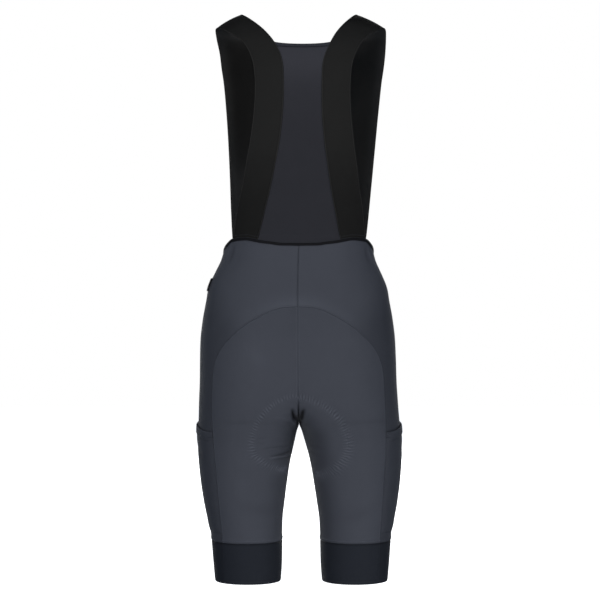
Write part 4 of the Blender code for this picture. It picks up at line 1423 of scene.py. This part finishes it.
# Painted shade along both edges of the folded band
NECK_SHADE = {"tone": -0.65, "width": 1.0}
tip_row, column_in = neck_row + 1, NET_TUCK["column"]
tip = strap_points[tip_row, column_in] - NET_TUCK["in"] * strap_normals[tip_row, column_in]
band = between(top[None], tip[None], NECK_ROWS[:, None])
points, normals = net_rows(band, np.repeat(net_edge_normals[-1:], len(band), axis=0))
points[..., 2] -= (tip[2] - NECK_HEIGHT) * NECK_ROWS[:, None] * (1 - NET_ACROSS ** 4)
fold = NECK_LIFT + NECK_ROUND * (1 - (2 * NECK_ROWS - 1) ** 4)[:, None, None]
tone = NECK_SHADE["tone"] * bell(from_edges(points, ("first_row", "last_row")), NECK_SHADE["width"])
made = make_cloth("sewn_neck_binding", points + fold * normals, normals, NECK_CLOTH, NECK_WALL, tone=tone)
print("Neck binding:", round(float(lengths(points, 1)[-1, -1])), "mm long")

# %% [markdown]
# ## Hip tab
#
# A short loop of black tape is sewn flat on the left hip. It is left bare.

# %% Tab
HIP_TAB = {"low": 462.0, "high": 482.0, "back_turn": 167.0, "front_turn": 192.0, "wall": 1.4, "lift": 0.6}
TAB_SEAMS = {"first_row": 0.4, "last_row": 0.4}
turns = np.radians(np.linspace(HIP_TAB["back_turn"], HIP_TAB["front_turn"], 20))[None, :]
heights = np.linspace(HIP_TAB["low"], HIP_TAB["high"], 16)[:, None]
turns, heights = turns + 0.0 * heights, heights + 0.0 * turns
body_cloth(
    "sewn_hip_tab", 1, turns, heights, BINDING_CLOTH, HIP_TAB["wall"], TAB_SEAMS,
    lift=HIP_TAB["lift"] + HIP_TAB["wall"])
print("Tab:", HIP_TAB["high"] - HIP_TAB["low"], "mm high")

# %% [markdown]
# ## Stitches
#
# Each seam is held by two rows of short stitches, one on each side. A row follows the finished surface
# of its panel at a set distance from the edge. One stitch is a small capsule that dives into the cloth
# at both ends, and all of a row are made at once as arrays.


# %% Rows of stitches
def inset_line(name, edge, distance):
    """Points and directions of a line on a piece, at a distance in from one of its edges."""
    def turned(grid):
        """The grid with the edge as its first column."""
        if edge in ("first_row", "last_row"):
            grid = grid.swapaxes(0, 1)
        return grid[:, ::-1] if edge in ("last_row", "last_column") else grid

    points, normals = turned(cloths[name]["points"]), turned(cloths[name]["normals"])
    along = lengths(points, 1)
    row = np.arange(len(points))
    before = np.clip((along < distance).sum(axis=1) - 1, 0, along.shape[1] - 2)
    part = (distance - along[row, before]) / (along[row, before + 1] - along[row, before])
    places, directions = (
        between(grid[row, before], grid[row, before + 1], part[:, None]) for grid in (points, normals))
    return places, unit(directions)


STITCH = {"pitch": 3.0, "length": 2.3, "radius": 0.2, "rise": 0.16}
CAPSULE = {"along": np.array([-0.5, -0.32, 0.32, 0.5]), "radius": np.array([0.35, 1.0, 1.0, 0.35])}
CAPSULE_SIDES = 6


def stitch_row(points, normals):
    """Vertices of the stitches along a line, as an array of stitch, station, side and place."""
    along = lengths(points, 0)
    at = np.arange(STITCH["pitch"] / 2, along[-1], STITCH["pitch"])
    centre = read_points(at, along, points)
    square = unit(read_points(at, along, normals))
    ahead = unit(np.gradient(centre, axis=0))
    beside = unit(np.cross(ahead, square))
    station = CAPSULE["along"][None, :, None, None]
    angle = np.linspace(0.0, TURN, CAPSULE_SIDES, endpoint=False)[None, None, :, None]
    radius = STITCH["radius"] * CAPSULE["radius"][None, :, None, None]
    rise = STITCH["rise"] * (1 - 5 * station ** 2)
    centre, square, ahead, beside = (part[:, None, None] for part in (centre, square, ahead, beside))
    return (centre + ahead * station * STITCH["length"] + beside * radius * np.cos(angle)
            + square * (radius * np.sin(angle) + rise))


def make_stitches(name, rows, finish):
    """One object of many stitches. Their sides are quads and their ends are closed by one face each."""
    stitches = np.concatenate(rows)
    count, stations, sides = stitches.shape[:3]
    index = np.arange(stations * sides).reshape(stations, sides)
    after = np.roll(index, -1, axis=1)
    quads = np.stack([index[:-1], after[:-1], after[1:], index[1:]], -1).reshape(-1, 4)
    start = np.arange(count)[:, None, None] * stations * sides
    quads = (quads[None] + start).reshape(-1, 4)
    caps = (np.stack([index[0, ::-1], index[-1]])[None] + start).reshape(-1, sides)
    faces = quads.tolist() + caps.tolist()
    uv = np.stack([
        np.tile(np.arange(sides) * STITCH["radius"], stations),
        np.repeat(CAPSULE["along"], sides) * STITCH["length"],
    ], -1)
    corners = np.concatenate([quads.ravel(), caps.ravel()])
    made = make_mesh(name, stitches.reshape(-1, 3), faces, uv[corners % (stations * sides)], finish)
    print(name, "has", count, "stitches")
    return made


def lines(piece, edges, *gaps):
    """The lines at some distances in from some edges of a piece."""
    return [(piece, edge, gap) for edge in edges for gap in gaps]


TWIN = 2.3
PANEL_SIDES = ("first_column", "last_column")
STITCHED = {
    "seat": (lines("seat_panel", (*PANEL_SIDES, "last_row"), TWIN), THREAD),
    "front": (lines("front_panel", PANEL_SIDES, TWIN), THREAD),
    "side": (lines("side_panel", PANEL_SIDES, TWIN), DARK_THREAD),
    "pocket": (
        lines("cargo_pocket", ("first_row",), TWIN) + lines("cargo_pocket", ("last_row",), 23.0, 25.0),
        DARK_THREAD),
    "hem": (lines("seat_panel", ("first_row",), 4.5) + lines("front_panel", ("first_row",), 4.5), THREAD),
    "strap": (lines("strap", ("first_row", "last_row"), 3.0, 7.0), DARK_THREAD),
}
STITCHED = {
    f"{kind}_{label}": ([(f"{piece}_{label}", edge, gap) for piece, edge, gap in rows], finish)
    for label in SIDES for kind, (rows, finish) in STITCHED.items()}
STITCHED["back"] = (
    lines("back_mesh", PANEL_SIDES, 2.5) + lines("neck_binding", ("first_row",), 1.4), DARK_THREAD)
STITCHED["tab"] = (lines("hip_tab", ("first_row", "last_row"), 1.6), DARK_THREAD)
for kind, (rows, finish) in STITCHED.items():
    stitches = [stitch_row(*inset_line(f"sewn_{piece}", edge, gap)) for piece, edge, gap in rows]
    make_stitches(f"stitches_{kind}", stitches, finish)

# %% [markdown]
# ## Stage, camera and light
#
# A white floor and white surroundings, as in a product studio. Three large soft lights stand behind the
# garment: one level, one above and one low and near, in place of the light that a white floor throws
# back. Four stand in front, two of them level. Area lights are used because their soft edges suit cloth.
# The surroundings are faintly blue, as shade is, and the floor lets the low lights pass.

# %% Stage
GROUND = -0.93
bpy.ops.mesh.primitive_plane_add(size=12.0, location=(0.0, 0.0, GROUND))
floor = bpy.context.object
floor.name = "floor"
floor_finish = Finish("floor", 0.9)
floor_finish.constant("Base Color", (0.9, 0.9, 0.9, 1.0))
floor_finish.constant("Emission Color", (1.0, 1.0, 1.0, 1.0))
floor_finish.constant("Emission Strength", 0.9)
floor.data.materials.append(floor_finish.material)
floor.visible_diffuse = False
floor.visible_glossy = False
floor.visible_shadow = False

world = bpy.data.worlds.new("studio")
bpy.context.scene.world = world
world.use_nodes = True
tree = world.node_tree
seen, unseen = tree.nodes["Background"], tree.nodes.new("ShaderNodeBackground")
seen.inputs["Color"].default_value = (1.0, 1.0, 1.0, 1.0)
unseen.inputs["Color"].default_value = (0.1, 0.13, 0.18, 1.0)
either, rays = tree.nodes.new("ShaderNodeMixShader"), tree.nodes.new("ShaderNodeLightPath")
tree.links.new(rays.outputs["Is Camera Ray"], either.inputs[0])
tree.links.new(unseen.outputs[0], either.inputs[1])
tree.links.new(seen.outputs[0], either.inputs[2])
tree.links.new(either.outputs[0], tree.nodes["World Output"].inputs["Surface"])
bpy.context.scene.view_settings.view_transform = "Standard"
print("Floor at", GROUND, "m")

# %% Camera: level, behind the garment, far enough that its two sides run almost parallel
CAMERA_PLACE = (-0.0011, 3.4, -0.454)
LENS = 127.5
SENSOR = 36.0
camera = bpy.data.objects.new("camera", bpy.data.cameras.new("camera"))
camera.data.lens = LENS
camera.data.sensor_width = SENSOR
camera.location = CAMERA_PLACE
camera.rotation_euler = (math.pi / 2, 0.0, math.pi)
bpy.context.scene.collection.objects.link(camera)
bpy.context.scene.camera = camera
print("View width at the garment:", round(SENSOR / LENS * CAMERA_PLACE[1], 3), "m")


# %% Lights: azimuth and elevation as seen from the garment, straight behind it being 0
AIM = np.array([0.0, 0.0, -0.45])
LIGHTS = named("azimuth elevation distance size strength", (
    (-25, 0, 3.3, 1.2, 0.555),
    (25, 40, 3.3, 1.2, 0.386),
    (50, -40, 1.6, 0.8, 0.318),
    (162, 0, 3.3, 1.2, 0.24),
    (201, 0, 3.3, 1.2, 0.26),
    (176, 40, 3.3, 1.2, 0.386),
    (192, -40, 1.6, 0.8, 0.318),
))


def area_light(name, turn, elevation, distance, size, strength):
    """A square soft light that looks at the garment. At strength 1 a white wall that faces it is as
    bright as paper: power is strength times the square of pi times the distance."""
    lamp = bpy.data.lights.new(name, "AREA")
    lamp.size = size
    lamp.energy = strength * (math.pi * distance) ** 2
    made = bpy.data.objects.new(name, lamp)
    level = math.cos(elevation)
    away = np.array([-math.sin(turn) * level, math.cos(turn) * level, math.sin(elevation)])
    made.location = AIM + distance * away
    made.rotation_euler = (math.pi / 2 - elevation, 0.0, math.pi + turn)
    bpy.context.scene.collection.objects.link(made)


for azimuth, elevation, distance, size, strength in zip(*LIGHTS.values()):
    area_light(
        f"light_{azimuth:.0f}", math.radians(azimuth), math.radians(elevation), distance, size, strength)
print("Lights:", len(bpy.data.lights))

# %% [markdown]
# ## What each piece stands for
#
# Every piece takes the place of its plain solid and rides on the one rigid body. Stretch garments are cut
# smaller than they are worn, so each sheet's cut is its measured cloth divided by its stretch.

# %% Pieces, solids and cuts
STRETCH = {"panel": (1.14, 1.05), "band": (1.12, 1.0), "strap": (1.0, 1.08), "net": (1.06, 1.05)}
PAIRS = {
    "seat_panel": ("knit_grey_blue", "panel"),
    "front_panel": ("knit_grey_blue", "panel"),
    "side_panel": ("knit_grey_blue", "panel"),
    "cargo_pocket": ("knit_side_dark", "panel"),
    "gripper": ("gripper_elastic", "band"),
    "gripper_side": ("gripper_elastic", "band"),
    "strap": ("strap_elastic", "strap"),
}
PIECES = {f"{name}_{label}": kinds for name, kinds in PAIRS.items() for label in SIDES}
PIECES |= {
    "waist_binding": ("binding_black", "band"),
    "back_mesh": ("back_net", "net"),
    "neck_binding": ("binding_black", "band"),
    "hip_tab_left": ("binding_black", "band"),
}


def cloth_area(points):
    """The area of a grid in square metres: half the cross product of each cell's diagonals."""
    one, two = points[1:, 1:] - points[:-1, :-1], points[1:, :-1] - points[:-1, 1:]
    return float(np.linalg.norm(np.cross(one, two), axis=-1).sum() / 2) * MM * MM


BOUND = {"back_mesh": ["neck_binding"], "front_panel_left": ["waist_binding"]}
BINDINGS = [name for names in BOUND.values() for name in names]

for node, (slot, kind) in PIECES.items():
    name = "sewn_hip_tab" if node == "hip_tab_left" else f"sewn_{node}"
    piece, points = cloths[name]["object"], cloths[name]["points"]
    wide, tall = STRETCH[kind]
    width = float(lengths(points, 1)[:, -1].max()) * MM / wide
    length = float(lengths(points, 0)[-1].max()) * MM / tall
    area = cloth_area(points) / (wide * tall)
    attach(piece, "root")
    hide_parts(node)
    if node not in BINDINGS:
        min(area, width * length)
    print(f"{node}: cut {width:.3f} x {length:.3f} m, {area:.4f} square metres")

for piece in [item for item in bpy.data.objects if item.name.startswith("stitches_")]:
    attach(piece, "root")
